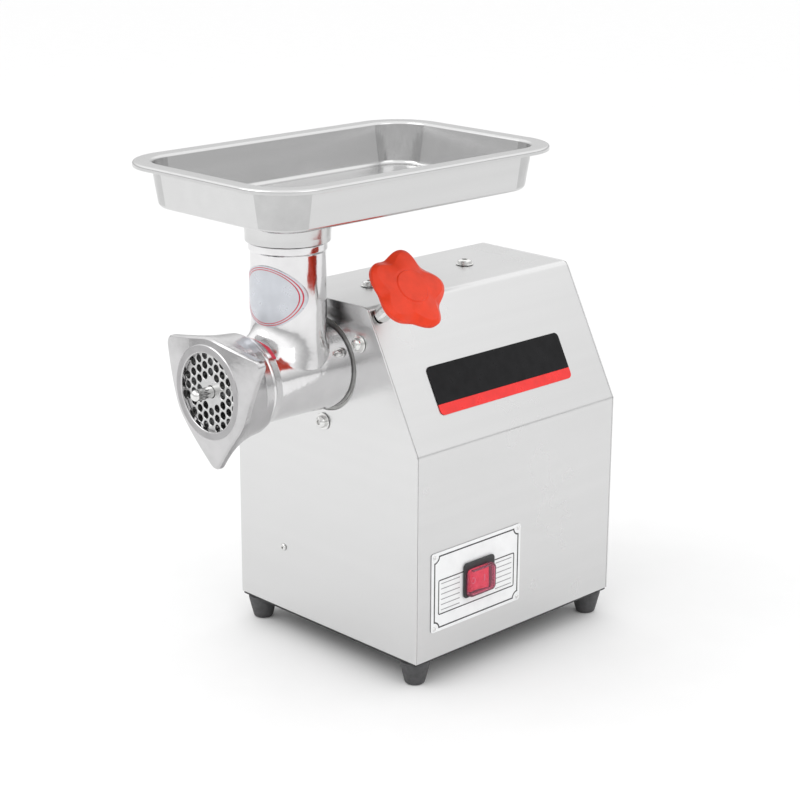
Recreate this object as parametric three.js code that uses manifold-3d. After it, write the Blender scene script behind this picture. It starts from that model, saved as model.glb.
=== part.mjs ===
// Countertop electric meat grinder with a size 8 grinding head: stainless casing on rubber feet,
// induction motor and two-stage spur gearbox inside, cast head with worm, knife and hole plate in
// front, and a feed tray on the head's throat.
//
// Millimetres, +Z up. The exported group's origin is on the surface that the feet stand on, below
// the middle of the whole grinder's box. Every size below is written in the machine's own frame:
// x = 0 in the mid-plane with the switch on the +X side, y = 0 on the front panel's outer face with
// the head towards -Y, and z = 0 under the base plate.

import * as THREE from "three";
import { mergeVertices } from "three/addons/utils/BufferGeometryUtils.js";
import Module from "manifold-3d";

const wasm = await Module();
wasm.setup();

const { degToRad } = THREE.MathUtils;

// ---------------------------------------------------------------- driving dimensions

const GAP = 0.3; // left between pieces that rest on or in each other
const SHEET = 1.2; // stainless sheet of the casing and its labels' ground
const FINE = 32; // steps round a visible turned piece
const COARSE = 16; // steps round a piece inside the casing
const TINY = 10; // steps round a screw

const casing = {
  halfWidth: 100,
  depth: 220,
  shoulder: 164, // height where each side starts to slant in
  topHalfWidth: 47,
  height: 266,
  bend: 5.5, // outer radius of the folded edges
  baseThickness: 1.5,
};
const foot = { height: 19, top: 11.6, bottom: 7.6, insetX: 12.5, insetY: 11.5 };
const axisHeight = 215; // centre of the head, the worm and the output shaft
const plate = { radius: 31, thickness: 5.5, front: -107.6, hole: 2.9, pitchX: 6.41, pitchZ: 7.4 };
const barrel = { front: -104.5, threadRadius: 34.9, bore: 27.5, spigot: 33.3, rear: 16 };
const ringNut = { front: -111.4, back: -80, opening: 28.7, radius: 40, lugReach: 54, lugTip: 5 };
const throat = { y: -33.4, radius: 27.6, bore: 24, top: 335.4, beadRadius: 28.9 };
const tray = {
  halfWidth: 92.5,
  front: -121.7,
  back: 169.4,
  top: 371.2,
  floor: 337.5, // underside of the floor
  corner: 42,
  rim: 12,
  sheet: 1,
};
const clamp = {
  y: 9,
  angle: 40.6,
  thread: 4, // radius of the screw
  collar: 6.25,
  collarFrom: 69.4,
  knobFrom: 86,
  knobTo: 112.5,
  lobes: 5,
  lobeTurn: -3.5,
  lobeTip: 32.6,
  lobeValley: 27.6,
};
const rating = { yFrom: 15, yTo: 112, zFrom: 23, zTo: 86, thickness: 0.7 };
const rocker = { y: 64.5, z: 54, pivotX: 96, tilt: 7, halfLength: 10.5, halfHeight: 8.7 };
const switchProud = 8; // how far the switch's boot stands out of the casing's side
const gland = { x: -55, z: 30, bore: 4.5, proud: 10 };
const stage1 = { module: 1.5, pinion: 16, wheel: 48, from: 56, to: 66 };
const stage2 = { module: 2, pinion: 16, wheel: 42, from: 38.5, to: 52.5 };
const worm = { core: 11, flight: 26.8, pitch: 30, pinRadius: 4.25, pinTip: -124.5 };

const centreDistance = ({ module, pinion, wheel }) => (module * (pinion + wheel)) / 2;
const intermediateHeight = axisHeight - centreDistance(stage2);
const motorHeight = intermediateHeight - centreDistance(stage1);
const slant = Math.atan2(casing.halfWidth - casing.topHalfWidth, casing.height - casing.shoulder);
const panelBottom = casing.baseThickness + GAP;
const plateBack = plate.front + plate.thickness;

// ---------------------------------------------------------------- materials

const finish = (color, roughness, metalness) =>
  new THREE.MeshStandardMaterial({ color, roughness, metalness });
const stainless = finish(0xdcdcda, 0.35, 1);
const polished = finish(0xd2d2d0, 0.18, 1);
const castAluminium = finish(0xb9bab8, 0.5, 0.9);
const zincSteel = finish(0xc4c4c0, 0.3, 1);
const gearSteel = finish(0x8f9194, 0.4, 1);
const bearingSteel = finish(0xb4b6b8, 0.25, 1);
const blackSheet = finish(0x202020, 0.6, 0.3);
const rubber = finish(0x4e4e4e, 0.9, 0);
const orangePlastic = finish(0xe4502f, 0.45, 0);
const blackPlastic = finish(0x161616, 0.45, 0);
const redPlastic = finish(0xe04a60, 0.35, 0);
const pinkSilicone = finish(0xb8325e, 0.4, 0);
const blackFilm = finish(0x161616, 0.4, 0);
const silverFilm = finish(0xe8e8e8, 0.45, 0.2);
const laminations = finish(0x6d6f74, 0.55, 0.8);
const copper = finish(0xa8552e, 0.45, 0.7);
const whitePlastic = finish(0xe9e6dc, 0.5, 0);
const nitrile = finish(0x2a2420, 0.8, 0);

// ---------------------------------------------------------------- geometry helpers

const MERGE = 1e-4; // vertices closer than this are one

// Turns the faces round if they point into the volume.
function facingOut(geometry) {
  const at = geometry.attributes.position;
  const index = geometry.index.array;
  const [a, b, c] = [new THREE.Vector3(), new THREE.Vector3(), new THREE.Vector3()];
  let volume = 0;
  for (let i = 0; i < index.length; i += 3) {
    a.fromBufferAttribute(at, index[i]);
    b.fromBufferAttribute(at, index[i + 1]);
    c.fromBufferAttribute(at, index[i + 2]);
    volume += a.dot(b.cross(c));
  }
  if (volume < 0) index.reverse();
  return geometry;
}

function solidOf(geometry) {
  const bare = geometry.clone();
  bare.deleteAttribute("normal");
  bare.deleteAttribute("uv");
  const merged = mergeVertices(bare, MERGE);
  const mesh = new wasm.Mesh({
    numProp: 3,
    vertProperties: merged.attributes.position.array,
    triVerts: new Uint32Array(merged.index.array),
  });
  return new wasm.Manifold(mesh);
}

function geometryOf(solid) {
  const { vertProperties, triVerts } = solid.getMesh();
  const geometry = new THREE.BufferGeometry();
  geometry.setAttribute("position", new THREE.BufferAttribute(vertProperties, 3));
  geometry.setIndex(new THREE.BufferAttribute(triVerts, 1));
  geometry.computeVertexNormals();
  return geometry;
}

const join = (first, ...others) =>
  geometryOf(others.reduce((sum, other) => sum.add(solidOf(other)), solidOf(first)));
const cut = (first, ...tools) =>
  geometryOf(tools.reduce((rest, tool) => rest.subtract(solidOf(tool)), solidOf(first)));
const common = (first, second) => geometryOf(solidOf(first).intersect(solidOf(second)));

// A profile of [radius, height] points revolved about +Y. One that starts off the axis is closed.
function revolve(profile, steps) {
  const points = profile.map(([radius, height]) => new THREE.Vector2(radius, height));
  if (points[0].x > 0) points.push(points[0].clone());
  if (THREE.ShapeUtils.area(points) < 0) points.reverse();
  return new THREE.LatheGeometry(points, steps);
}

const turnedY = (profile, steps, x = 0, z = 0) => revolve(profile, steps).translate(x, 0, z);
const turnedZ = (profile, steps, x = 0, y = 0) =>
  revolve(profile, steps)
    .rotateX(Math.PI / 2)
    .translate(x, y, 0);

const rodProfile = (radius, from, to) => [
  [0, from],
  [radius, from],
  [radius, to],
  [0, to],
];
const tubeProfile = (inner, outer, from, to) => [
  [inner, from],
  [outer, from],
  [outer, to],
  [inner, to],
];
const rodY = (radius, from, to, steps, x, z) => turnedY(rodProfile(radius, from, to), steps, x, z);
const rodZ = (radius, from, to, steps, x, y) => turnedZ(rodProfile(radius, from, to), steps, x, y);
const tubeY = (inner, outer, from, to, steps, x, z) =>
  turnedY(tubeProfile(inner, outer, from, to), steps, x, z);

function block(xFrom, xTo, yFrom, yTo, zFrom, zTo) {
  const box = new THREE.BoxGeometry(xTo - xFrom, yTo - yFrom, zTo - zFrom);
  return box.translate((xFrom + xTo) / 2, (yFrom + yTo) / 2, (zFrom + zTo) / 2);
}

const polar = (radius, angle, x = 0, y = 0) =>
  new THREE.Vector2(x + radius * Math.cos(angle), y + radius * Math.sin(angle));

function circle(radius, steps, x = 0, y = 0) {
  return Array.from({ length: steps }, (_, i) => polar(radius, (2 * Math.PI * i) / steps, x, y));
}

// A polygon with each corner replaced by an arc that touches its two sides.
function filleted(corners, radii, steps = 3) {
  const points = corners.map(([x, y]) => new THREE.Vector2(x, y));
  return points.flatMap((corner, i) => {
    const radius = Array.isArray(radii) ? radii[i] : radii;
    if (radius === 0) return [corner];
    const before = points[(i + points.length - 1) % points.length];
    const after = points[(i + 1) % points.length];
    const toBefore = before.clone().sub(corner).normalize();
    const toAfter = after.clone().sub(corner).normalize();
    const halfAngle = Math.acos(toBefore.dot(toAfter)) / 2;
    const toCentre = toBefore.clone().add(toAfter).normalize();
    const centre = corner.clone().addScaledVector(toCentre, radius / Math.sin(halfAngle));
    const start = corner.clone().addScaledVector(toBefore, radius / Math.tan(halfAngle));
    const end = corner.clone().addScaledVector(toAfter, radius / Math.tan(halfAngle));
    const from = start.sub(centre).angle();
    const turn = end.sub(centre).angle() - from;
    const sweep = Math.atan2(Math.sin(turn), Math.cos(turn));
    return Array.from({ length: steps + 1 }, (_, j) =>
      polar(radius, from + (sweep * j) / steps, centre.x, centre.y),
    );
  });
}

function roundedRectangle(width, height, radius, x = 0, y = 0, steps = 3) {
  const [w, h] = [width / 2, height / 2];
  const corners = [
    [x - w, y - h],
    [x + w, y - h],
    [x + w, y + h],
    [x - w, y + h],
  ];
  return filleted(corners, radius, steps);
}

function shapeOf(outline, ...holes) {
  const clockwise = THREE.ShapeUtils.area(outline) < 0;
  const shape = new THREE.Shape(clockwise ? [...outline].reverse() : outline);
  shape.holes = holes.map((hole) => new THREE.Path(hole));
  return shape;
}

const X = new THREE.Vector3(1, 0, 0);
const Y = new THREE.Vector3(0, 1, 0);
const Z = new THREE.Vector3(0, 0, 1);
const planeYZ = new THREE.Matrix4().makeBasis(Y, Z, X);
const planeXZ = new THREE.Matrix4().makeBasis(X, Z, Y.clone().negate());

function slabZ(shape, from, to, steps = 1) {
  const options = { depth: to - from, steps, bevelEnabled: false };
  return new THREE.ExtrudeGeometry(shape, options).translate(0, 0, from);
}
const slabX = (shape, from, to) => slabZ(shape, from, to).applyMatrix4(planeYZ); // drawn in (y, z)
const slabY = (shape, from, to) => slabZ(shape, -to, -from).applyMatrix4(planeXZ); // drawn in (x, z)

// One surface through rings of equally many points. The first and last ring are single points
// repeated, unless the surface closes on itself.
function loft(rings, closesOnItself) {
  const count = rings[0].length;
  const spans = closesOnItself ? rings.length : rings.length - 1;
  const index = [];
  for (let i = 0; i < spans; i++) {
    const [low, high] = [i * count, ((i + 1) % rings.length) * count];
    for (let j = 0; j < count; j++) {
      const k = (j + 1) % count;
      index.push(low + j, low + k, high + k, low + j, high + k, high + j);
    }
  }
  const geometry = new THREE.BufferGeometry();
  geometry.setFromPoints(rings.flat());
  geometry.setIndex(new THREE.BufferAttribute(new Uint32Array(index), 1));
  return facingOut(geometry);
}

// Outline that wraps two circles on one vertical line, the larger one above.
function eggOutline(top, topRadius, bottom, bottomRadius, steps = 12) {
  const lean = Math.asin((topRadius - bottomRadius) / (top - bottom));
  const arc = (radius, centre, from, to) =>
    Array.from({ length: steps + 1 }, (_, i) =>
      polar(radius, from + ((to - from) * i) / steps, 0, centre),
    );
  return [
    ...arc(topRadius, top, -lean, Math.PI + lean),
    ...arc(bottomRadius, bottom, Math.PI + lean, 2 * Math.PI - lean),
  ];
}

const PRESSURE_ANGLE = degToRad(20);
const BACKLASH = 0.25;
const involute = (angle) => Math.tan(angle) - angle;

// Outline of an involute spur gear about (0, height), with one tooth centred on the angle phase.
function gearOutline(module, teeth, phase, height) {
  const pitch = (module * teeth) / 2;
  const base = pitch * Math.cos(PRESSURE_ANGLE);
  const atPitch = (Math.PI * module) / 4 - BACKLASH / 2;
  const halfTooth = (radius) =>
    atPitch / pitch + involute(PRESSURE_ANGLE) - involute(Math.acos(base / Math.max(radius, base)));
  const flankRadii = [pitch - 1.25 * module, pitch, pitch + module];
  const flank = flankRadii.map((radius) => [radius, halfTooth(radius)]);
  const tooth = (middle) => [
    ...flank.map(([radius, half]) => polar(radius, middle - half, 0, height)),
    ...flank.toReversed().map(([radius, half]) => polar(radius, middle + half, 0, height)),
  ];
  return Array.from({ length: teeth }, (_, i) => phase + (2 * Math.PI * i) / teeth).flatMap(tooth);
}

const toothDown = -Math.PI / 2;
const gapUp = (teeth) => Math.PI / 2 + Math.PI / teeth;

// ---------------------------------------------------------------- scene graph

const grinder = new THREE.Group();
const machine = new THREE.Group();
machine.position.set(
  -switchProud / 2,
  -(casing.depth + gland.proud + worm.pinTip) / 2,
  foot.height,
);
grinder.add(machine);

function piece(name, geometry, material, parent = machine) {
  const mesh = new THREE.Mesh(geometry, material);
  mesh.name = name;
  parent.add(mesh);
}

// ---------------------------------------------------------------- casing

// The casing's section, from bottom right over the top to bottom left, moved in by an inset.
function casingCorners(inset, bottom) {
  const right = [
    [casing.halfWidth - inset, bottom],
    [casing.halfWidth - inset, casing.shoulder - inset * Math.tan(slant / 2)],
    [casing.topHalfWidth - inset * Math.tan(Math.PI / 4 - slant / 2), casing.height - inset],
  ];
  return [...right, ...right.toReversed().map(([x, z]) => [-x, z])];
}

const bendRadii = (radius) => [0, radius, radius, radius, radius, 0];
const panelOutline = (inset = 0) =>
  filleted(casingCorners(inset, panelBottom), bendRadii(casing.bend - inset));

const headHole = 36; // radius of the front panel's hole for the head
const boltCircle = 45.5;
const boltAngles = [30, 150, 270];
const boltPlaces = boltAngles.map((angle) => polar(boltCircle, degToRad(angle), 0, axisHeight));
const panelScrew = { x: -47.7, z: 54.4, head: 2.8, shank: 1.6 };
const bolt = { washer: 6.7, head: 4.8, shank: 2.3, hole: 2.6, proud: 5.5, to: 12 };
const footPlaces = [
  ["front_right", casing.halfWidth - foot.insetX, foot.insetY],
  ["front_left", foot.insetX - casing.halfWidth, foot.insetY],
  ["rear_right", casing.halfWidth - foot.insetX, casing.depth - foot.insetY],
  ["rear_left", foot.insetX - casing.halfWidth, casing.depth - foot.insetY],
];
const footScrew = { shank: 2, hole: 2.3, head: 4, headFrom: -14, headTo: -11.3, tip: 5 };
const topScrews = [
  ["top_screw_front", 48],
  ["top_screw_rear", 151],
];
const topScrew = { washer: 7, head: 5.6, proud: 4.4, shank: 2, hole: 2.3 };
const brace = { halfWidth: 12, top: casing.height - SHEET - GAP - 0.1, thickness: 2 };

function basePlate() {
  const inset = 0.5;
  const width = 2 * (casing.halfWidth - inset);
  const depth = casing.depth - 2 * inset;
  const outline = roundedRectangle(width, depth, 2, 0, casing.depth / 2);
  const holes = footPlaces.map(([, x, y]) => circle(footScrew.hole, TINY, x, y));
  return slabZ(shapeOf(outline, ...holes), 0, casing.baseThickness);
}

function frontPanel() {
  const holes = [
    circle(headHole, FINE, 0, axisHeight),
    ...boltPlaces.map(({ x, y }) => circle(bolt.hole + GAP, TINY, x, y)),
    circle(panelScrew.shank + GAP, TINY, panelScrew.x, panelScrew.z),
  ];
  return slabY(shapeOf(panelOutline(), ...holes), 0, SHEET);
}

function rearPanel() {
  const slot = { width: 70, height: 3, pitch: 8, count: 8, lowest: 80 };
  const slots = Array.from({ length: slot.count }, (_, i) =>
    roundedRectangle(slot.width, slot.height, 0, 0, slot.lowest + i * slot.pitch),
  );
  const glandHole = circle(8 + GAP, COARSE, gland.x, gland.z);
  const shape = shapeOf(panelOutline(), glandHole, ...slots);
  return slabY(shape, casing.depth - SHEET, casing.depth);
}

// The switch's body passes through the cover and the rating plate. Everything round the switch is
// drawn about the rocker, raised by what its frame stands above it.
const switchBox = { width: 29, height: 24, raise: 1 };
const aroundSwitch = (width, height, radius, raise = 0) =>
  shapeOf(roundedRectangle(width, height, radius, rocker.y, rocker.z + raise));

function topCover() {
  const section = shapeOf([...panelOutline(), ...panelOutline(SHEET).reverse()]);
  const shell = slabY(section, SHEET + GAP, casing.depth - SHEET - GAP);
  const screwHoles = topScrews.map(([, y]) =>
    rodZ(topScrew.hole, casing.height - 5, casing.height + 5, TINY, 0, y),
  );
  const clampHole = rodZ(clamp.thread + 1, 55, 75, TINY)
    .rotateY(degToRad(90 - clamp.angle))
    .translate(0, clamp.y, axisHeight);
  const switchHole = slabX(
    aroundSwitch(switchBox.width + 1, switchBox.height + 1, 0, switchBox.raise),
    casing.halfWidth - 5,
    casing.halfWidth + 5,
  );
  return cut(shell, ...screwHoles, clampHole, switchHole);
}

function topBrace() {
  const [low, rear] = [brace.top - brace.thickness, casing.depth - SHEET - GAP];
  const bar = block(-brace.halfWidth, brace.halfWidth, 20, rear, low, brace.top);
  const tabLow = brace.top - 15;
  const tab = block(-brace.halfWidth, brace.halfWidth, rear - brace.thickness, rear, tabLow, brace.top);
  const holes = topScrews.map(([, y]) => rodZ(topScrew.hole, low - 1, brace.top + 1, TINY, 0, y));
  return cut(join(bar, tab), ...holes);
}

function topScrewShape(y) {
  const seat = casing.height + GAP;
  const profile = [
    [0, brace.top - brace.thickness + GAP],
    [topScrew.shank, brace.top - brace.thickness + GAP],
    [topScrew.shank, seat],
    [topScrew.washer, seat],
    [topScrew.washer, seat + 1],
    [topScrew.head, seat + 1],
    [topScrew.head, casing.height + topScrew.proud - 1],
    [topScrew.head * 0.75, casing.height + topScrew.proud],
    [0, casing.height + topScrew.proud],
  ];
  return turnedZ(profile, COARSE, 0, y);
}

function footShape(x, y) {
  const profile = [
    [footScrew.hole + GAP, -GAP],
    [footScrew.hole + GAP, footScrew.headTo + GAP],
    [footScrew.head + 0.6, footScrew.headTo + GAP],
    [footScrew.head + 0.6, -foot.height],
    [foot.bottom - 1.2, -foot.height],
    [foot.bottom, 1.6 - foot.height],
    [foot.top, -2],
    [foot.top - 0.5, -GAP],
  ];
  return turnedZ(profile, COARSE, x, y);
}

function footScrewShape(x, y) {
  const profile = [
    [0, footScrew.headFrom],
    [footScrew.head, footScrew.headFrom],
    [footScrew.head, footScrew.headTo],
    [footScrew.shank, footScrew.headTo],
    [footScrew.shank, footScrew.tip],
    [0, footScrew.tip],
  ];
  return turnedZ(profile, TINY, x, y);
}

function frontBoltShape(x, z) {
  const profile = [
    [0, -bolt.proud],
    [bolt.head * 0.7, -bolt.proud],
    [bolt.head, 1.6 - bolt.proud],
    [bolt.head, -1.5],
    [bolt.washer, -1.5],
    [bolt.washer, -GAP],
    [bolt.shank, -GAP],
    [bolt.shank, bolt.to],
    [0, bolt.to],
  ];
  return turnedY(profile, COARSE, x, z);
}

function panelScrewShape() {
  const profile = [
    [0, -2],
    [panelScrew.head * 0.7, -2],
    [panelScrew.head, -GAP],
    [panelScrew.shank, -GAP],
    [panelScrew.shank, 7],
    [0, 7],
  ];
  return turnedY(profile, TINY, panelScrew.x, panelScrew.z);
}

piece("base_plate", basePlate(), blackSheet);
piece("front_panel", frontPanel(), stainless);
piece("top_cover", topCover(), stainless);
piece("rear_panel", rearPanel(), stainless);
piece("top_brace", topBrace(), zincSteel);
for (const [name, y] of topScrews) piece(name, topScrewShape(y), zincSteel);
for (const [place, x, y] of footPlaces) {
  piece(`foot_${place}`, footShape(x, y), rubber);
  piece(`foot_screw_${place}`, footScrewShape(x, y), zincSteel);
}
boltPlaces.forEach(({ x, y }, i) => piece(`front_bolt_${i + 1}`, frontBoltShape(x, y), zincSteel));
piece("front_panel_screw", panelScrewShape(), zincSteel);

// The label lies on the slanted face: local X runs back along the machine, local Z stands off it.
function brandLabel() {
  const size = { length: 145, height: 37.5, thickness: 0.5, y: 108.5, z: 202.5 };
  const across = [-Math.sin(slant), 0, Math.cos(slant)];
  const normal = [Math.cos(slant), 0, Math.sin(slant)];
  const onSlant = new THREE.Matrix4().makeBasis(
    Y,
    new THREE.Vector3(...across),
    new THREE.Vector3(...normal),
  );
  const x = casing.halfWidth - (size.z - casing.shoulder) * Math.tan(slant);
  return slabZ(shapeOf(roundedRectangle(size.length, size.height, 4)), GAP, GAP + size.thickness)
    .applyMatrix4(onSlant)
    .translate(x, size.y, size.z);
}

function ratingPlate() {
  const width = rating.yTo - rating.yFrom;
  const height = rating.zTo - rating.zFrom;
  const middle = [(rating.yFrom + rating.yTo) / 2, (rating.zFrom + rating.zTo) / 2];
  const { width: boxWidth, height: boxHeight, raise } = switchBox;
  const window = roundedRectangle(boxWidth + 1, boxHeight + 1, 1, rocker.y, rocker.z + raise);
  const from = casing.halfWidth + GAP;
  const shape = shapeOf(roundedRectangle(width, height, 2, ...middle), window);
  return slabX(shape, from, from + rating.thickness);
}

piece("brand_label", brandLabel(), blackFilm);
piece("rating_plate", ratingPlate(), silverFilm);

// ---------------------------------------------------------------- cable gland

function cableGland() {
  const [rear, end] = [casing.depth + GAP, casing.depth + gland.proud];
  const barrelShape = tubeY(gland.bore, 8, casing.depth - 12, rear + 4, COARSE, gland.x, gland.z);
  const hexagon = tubeY(gland.bore, 12, rear, rear + 5, 6, gland.x, gland.z);
  const dome = [
    [gland.bore, rear],
    [9.5, rear],
    [9.5, end - 2.5],
    [7.5, end],
    [gland.bore, end],
  ];
  return join(barrelShape, hexagon, turnedY(dome, COARSE, gland.x, gland.z));
}

function glandNut() {
  const inside = casing.depth - SHEET - GAP;
  return cut(
    rodY(12.5, inside - 4, inside, 6, gland.x, gland.z),
    rodY(8 + GAP, inside - 5, inside + 1, COARSE, gland.x, gland.z),
  );
}

piece("cable_gland", cableGland(), blackPlastic);
piece("gland_nut", glandNut(), blackPlastic);

// ---------------------------------------------------------------- switch

const bezel = {
  width: 33,
  height: 28,
  raise: 2,
  seat: casing.halfWidth + GAP + rating.thickness + GAP,
  rim: casing.halfWidth + 3.4,
};
const boot = { width: 29, height: 22, wall: 0.8, rimWidth: 1.8 };

function switchBezel() {
  const flangeShape = aroundSwitch(bezel.width, bezel.height, 3, bezel.raise);
  const flange = slabX(flangeShape, bezel.seat, bezel.rim);
  const boxShape = aroundSwitch(switchBox.width, switchBox.height, 1, switchBox.raise);
  const box = slabX(boxShape, 76, bezel.seat + 1);
  const well = slabX(aroundSwitch(23.4, 19, 1), 84, bezel.rim + 1);
  return cut(join(flange, box), well);
}

function switchRocker() {
  const half = rocker.halfLength;
  const outline = [
    [-6.5, -4],
    [-1, 1.5 - half],
    [7.6, -half],
    [6.3, 0],
    [7.6, half],
    [-1, half - 1.5],
    [-6.5, 4],
  ];
  const shape = shapeOf(outline.map(([x, y]) => new THREE.Vector2(x, y)));
  return slabZ(shape, -rocker.halfHeight, rocker.halfHeight)
    .rotateZ(degToRad(-rocker.tilt))
    .translate(rocker.pivotX, rocker.y, rocker.z);
}

// The boot is an open-backed cap that lies on the bezel's rim.
function switchBoot() {
  const top = casing.halfWidth + switchProud;
  const { width, height, wall, rimWidth } = boot;
  const [innerWidth, innerHeight] = [width - 2 * rimWidth, height - 2 * rimWidth];
  const cap = slabX(aroundSwitch(width, height, 3), bezel.rim + GAP, top);
  const hollow = slabX(aroundSwitch(innerWidth, innerHeight, 2), bezel.rim, top - wall);
  return cut(cap, hollow);
}

piece("switch_bezel", switchBezel(), blackPlastic);
piece("switch_rocker", switchRocker(), redPlastic);
piece("switch_boot", switchBoot(), pinkSilicone);

// ---------------------------------------------------------------- head clamp

// Local Z runs out of the head's axis through the slanted face, and local Y is the machine's.
const clampAxis = new THREE.Group();
clampAxis.position.set(0, clamp.y, axisHeight);
clampAxis.rotation.y = degToRad(90 - clamp.angle);
machine.add(clampAxis);

function clampScrew() {
  const { thread, collar, collarFrom, knobFrom } = clamp;
  const [tip, end] = [barrel.spigot + 2 * GAP, knobFrom + 9];
  const profile = [
    [0, tip],
    [thread - 1, tip],
    [thread, tip + 1],
    [thread, collarFrom],
    [collar, collarFrom],
    [collar, knobFrom - GAP],
    [thread, knobFrom - GAP],
    [thread, end],
    [0, end],
  ];
  return turnedZ(profile, COARSE);
}

// A flat-faced star on a narrow hub, widest just behind its face. Lobes point near local +Y.
function knob() {
  const { thread, knobFrom, knobTo, lobes, lobeTurn, lobeTip, lobeValley } = clamp;
  const steps = 8 * lobes;
  const [middle, swing] = [(lobeTip + lobeValley) / 2, (lobeTip - lobeValley) / 2];
  const outline = (angle) => middle + swing * Math.sin(lobes * (angle - degToRad(lobeTurn)));
  const round = (radius) => () => radius;
  const profile = [
    [round(0), knobFrom + 10],
    [round(thread + GAP), knobFrom + 10],
    [round(thread + GAP), knobFrom],
    [round(9.5), knobFrom],
    [round(10.5), knobFrom + 1],
    [round(10.5), knobFrom + 8],
    [(angle) => outline(angle) - 10, knobTo - 14],
    [(angle) => outline(angle) - 2, knobTo - 9],
    [outline, knobTo - 7],
    [outline, knobTo - 2.5],
    [(angle) => outline(angle) - 2.5, knobTo - 0.8],
    [round(14), knobTo],
    [round(0), knobTo],
  ];
  const angles = Array.from({ length: steps }, (_, i) => (2 * Math.PI * i) / steps);
  const rings = profile.map(([radius, height]) =>
    angles.map((angle) => {
      const { x, y } = polar(radius(angle), angle);
      return new THREE.Vector3(x, y, height);
    }),
  );
  return loft(rings, false);
}

piece("clamp_screw", clampScrew(), zincSteel, clampAxis);
piece("clamp_knob", knob(), orangePlastic, clampAxis);

// ---------------------------------------------------------------- gearbox

const gearbox = {
  topRadius: 47,
  bottomRadius: 36,
  wall: 2.5,
  front: 17,
  wallBack: 22.3, // inner face of the front wall
  back: 69,
  flange: 49.3, // radius of the socket that takes the head
  coverTo: 73.3,
};
const bearing = {
  output: { bore: 12.5, outside: 23.5, from: 22.9, to: 34.9 },
  outputRear: { bore: 10, outside: 21, from: 70.4, to: 82.4 },
  intermediate: { bore: 6, outside: 16, from: 22.9, to: 32.9 },
  intermediateRear: { bore: 6, outside: 16, from: 70.4, to: 80.4 },
  motorFront: { bore: 6, outside: 16, from: 91.4, to: 101.4 },
  motorRear: { bore: 6, outside: 16, from: 174.9, to: 184.9 },
};
const seal = { bore: bearing.output.bore, outside: 19.7, from: 17.6, to: 22 };
const housingOutline = (inset) =>
  eggOutline(axisHeight, gearbox.topRadius - inset, motorHeight, gearbox.bottomRadius - inset);

const bearingRing = ({ bore, outside, from, to }, height) =>
  tubeY(bore + GAP, outside, from, to, COARSE, 0, height);
const bearingSeat = ({ outside, to }, from, height) =>
  rodY(outside + GAP, from, to + GAP, COARSE, 0, height);

function gearboxHousing() {
  const { front, wallBack, back, flange, wall } = gearbox;
  const shell = slabY(shapeOf(housingOutline(0)), front, back);
  const cavity = slabY(shapeOf(housingOutline(wall)), wallBack, back + 1);
  const socket = rodY(flange, SHEET + GAP, front + 1, FINE, 0, axisHeight);
  const outputBoss = rodY(28, wallBack - 1, bearing.output.to, COARSE, 0, axisHeight);
  const intermediateBoss = rodY(19.5, wallBack - 1, bearing.intermediate.to, COARSE, 0, intermediateHeight);
  const body = join(cut(join(shell, socket), cavity), outputBoss, intermediateBoss);
  const clampBore = rodZ(clamp.thread + GAP, 30, 60, TINY)
    .rotateY(degToRad(90 - clamp.angle))
    .translate(0, clamp.y, axisHeight);
  const boltBores = boltPlaces.map(({ x, y }) => rodY(bolt.hole, 0, bolt.to + 1, TINY, x, y));
  return cut(
    body,
    rodY(barrel.spigot + GAP, 0, barrel.rear + 0.4, FINE, 0, axisHeight),
    rodY(seal.outside + GAP, 0, wallBack + 1, COARSE, 0, axisHeight),
    bearingSeat(bearing.output, wallBack, axisHeight),
    bearingSeat(bearing.intermediate, wallBack, intermediateHeight),
    clampBore,
    ...boltBores,
  );
}

function gearboxCover() {
  const from = gearbox.back + GAP;
  const flat = slabY(shapeOf(housingOutline(0)), from, gearbox.coverTo);
  const outputBoss = rodY(25, from, 86, COARSE, 0, axisHeight);
  const intermediateBoss = rodY(19.5, from, 83.5, COARSE, 0, intermediateHeight);
  const motorRing = tubeY(30, 34, from, motor.front - GAP, COARSE, 0, motorHeight);
  return cut(
    join(flat, outputBoss, intermediateBoss, motorRing),
    bearingSeat(bearing.outputRear, from - 1, axisHeight),
    bearingSeat(bearing.intermediateRear, from - 1, intermediateHeight),
    rodY(14.5, from - 1, gearbox.coverTo + 1, COARSE, 0, motorHeight),
  );
}

const driveSquare = 6; // half the width of the worm's square tail

function outputShaft() {
  const profile = [
    [0, seal.from],
    [bearing.output.bore, seal.from],
    [bearing.output.bore, bearing.output.to + GAP],
    [15, bearing.output.to + GAP],
    [15, stage2.from - GAP],
    [14, stage2.from - GAP],
    [14, stage2.to + 1],
    [bearing.outputRear.bore, 55],
    [bearing.outputRear.bore, bearing.outputRear.to],
    [0, bearing.outputRear.to],
  ];
  const half = driveSquare + GAP;
  const socket = block(-half, half, 0, 34, axisHeight - half, axisHeight + half);
  return cut(turnedY(profile, COARSE, 0, axisHeight), socket);
}

function intermediateShaft() {
  const { from, to } = stage2;
  const pinion = gearOutline(stage2.module, stage2.pinion, gapUp(stage2.pinion), intermediateHeight);
  const profile = [
    [0, bearing.intermediate.from],
    [bearing.intermediate.bore, bearing.intermediate.from],
    [bearing.intermediate.bore, from - 3],
    [8, from - 2],
    [8, stage1.to + 1],
    [bearing.intermediateRear.bore, stage1.to + 2],
    [bearing.intermediateRear.bore, bearing.intermediateRear.to],
    [0, bearing.intermediateRear.to],
  ];
  return join(
    turnedY(profile, COARSE, 0, intermediateHeight),
    slabY(shapeOf(pinion), from - 1, to + 1),
  );
}

function wheel({ module, wheel: teeth, from, to }, bore, height) {
  const outline = gearOutline(module, teeth, toothDown, height);
  return slabY(shapeOf(outline, circle(bore + GAP, COARSE, 0, height)), from, to);
}

// ---------------------------------------------------------------- motor

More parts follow.
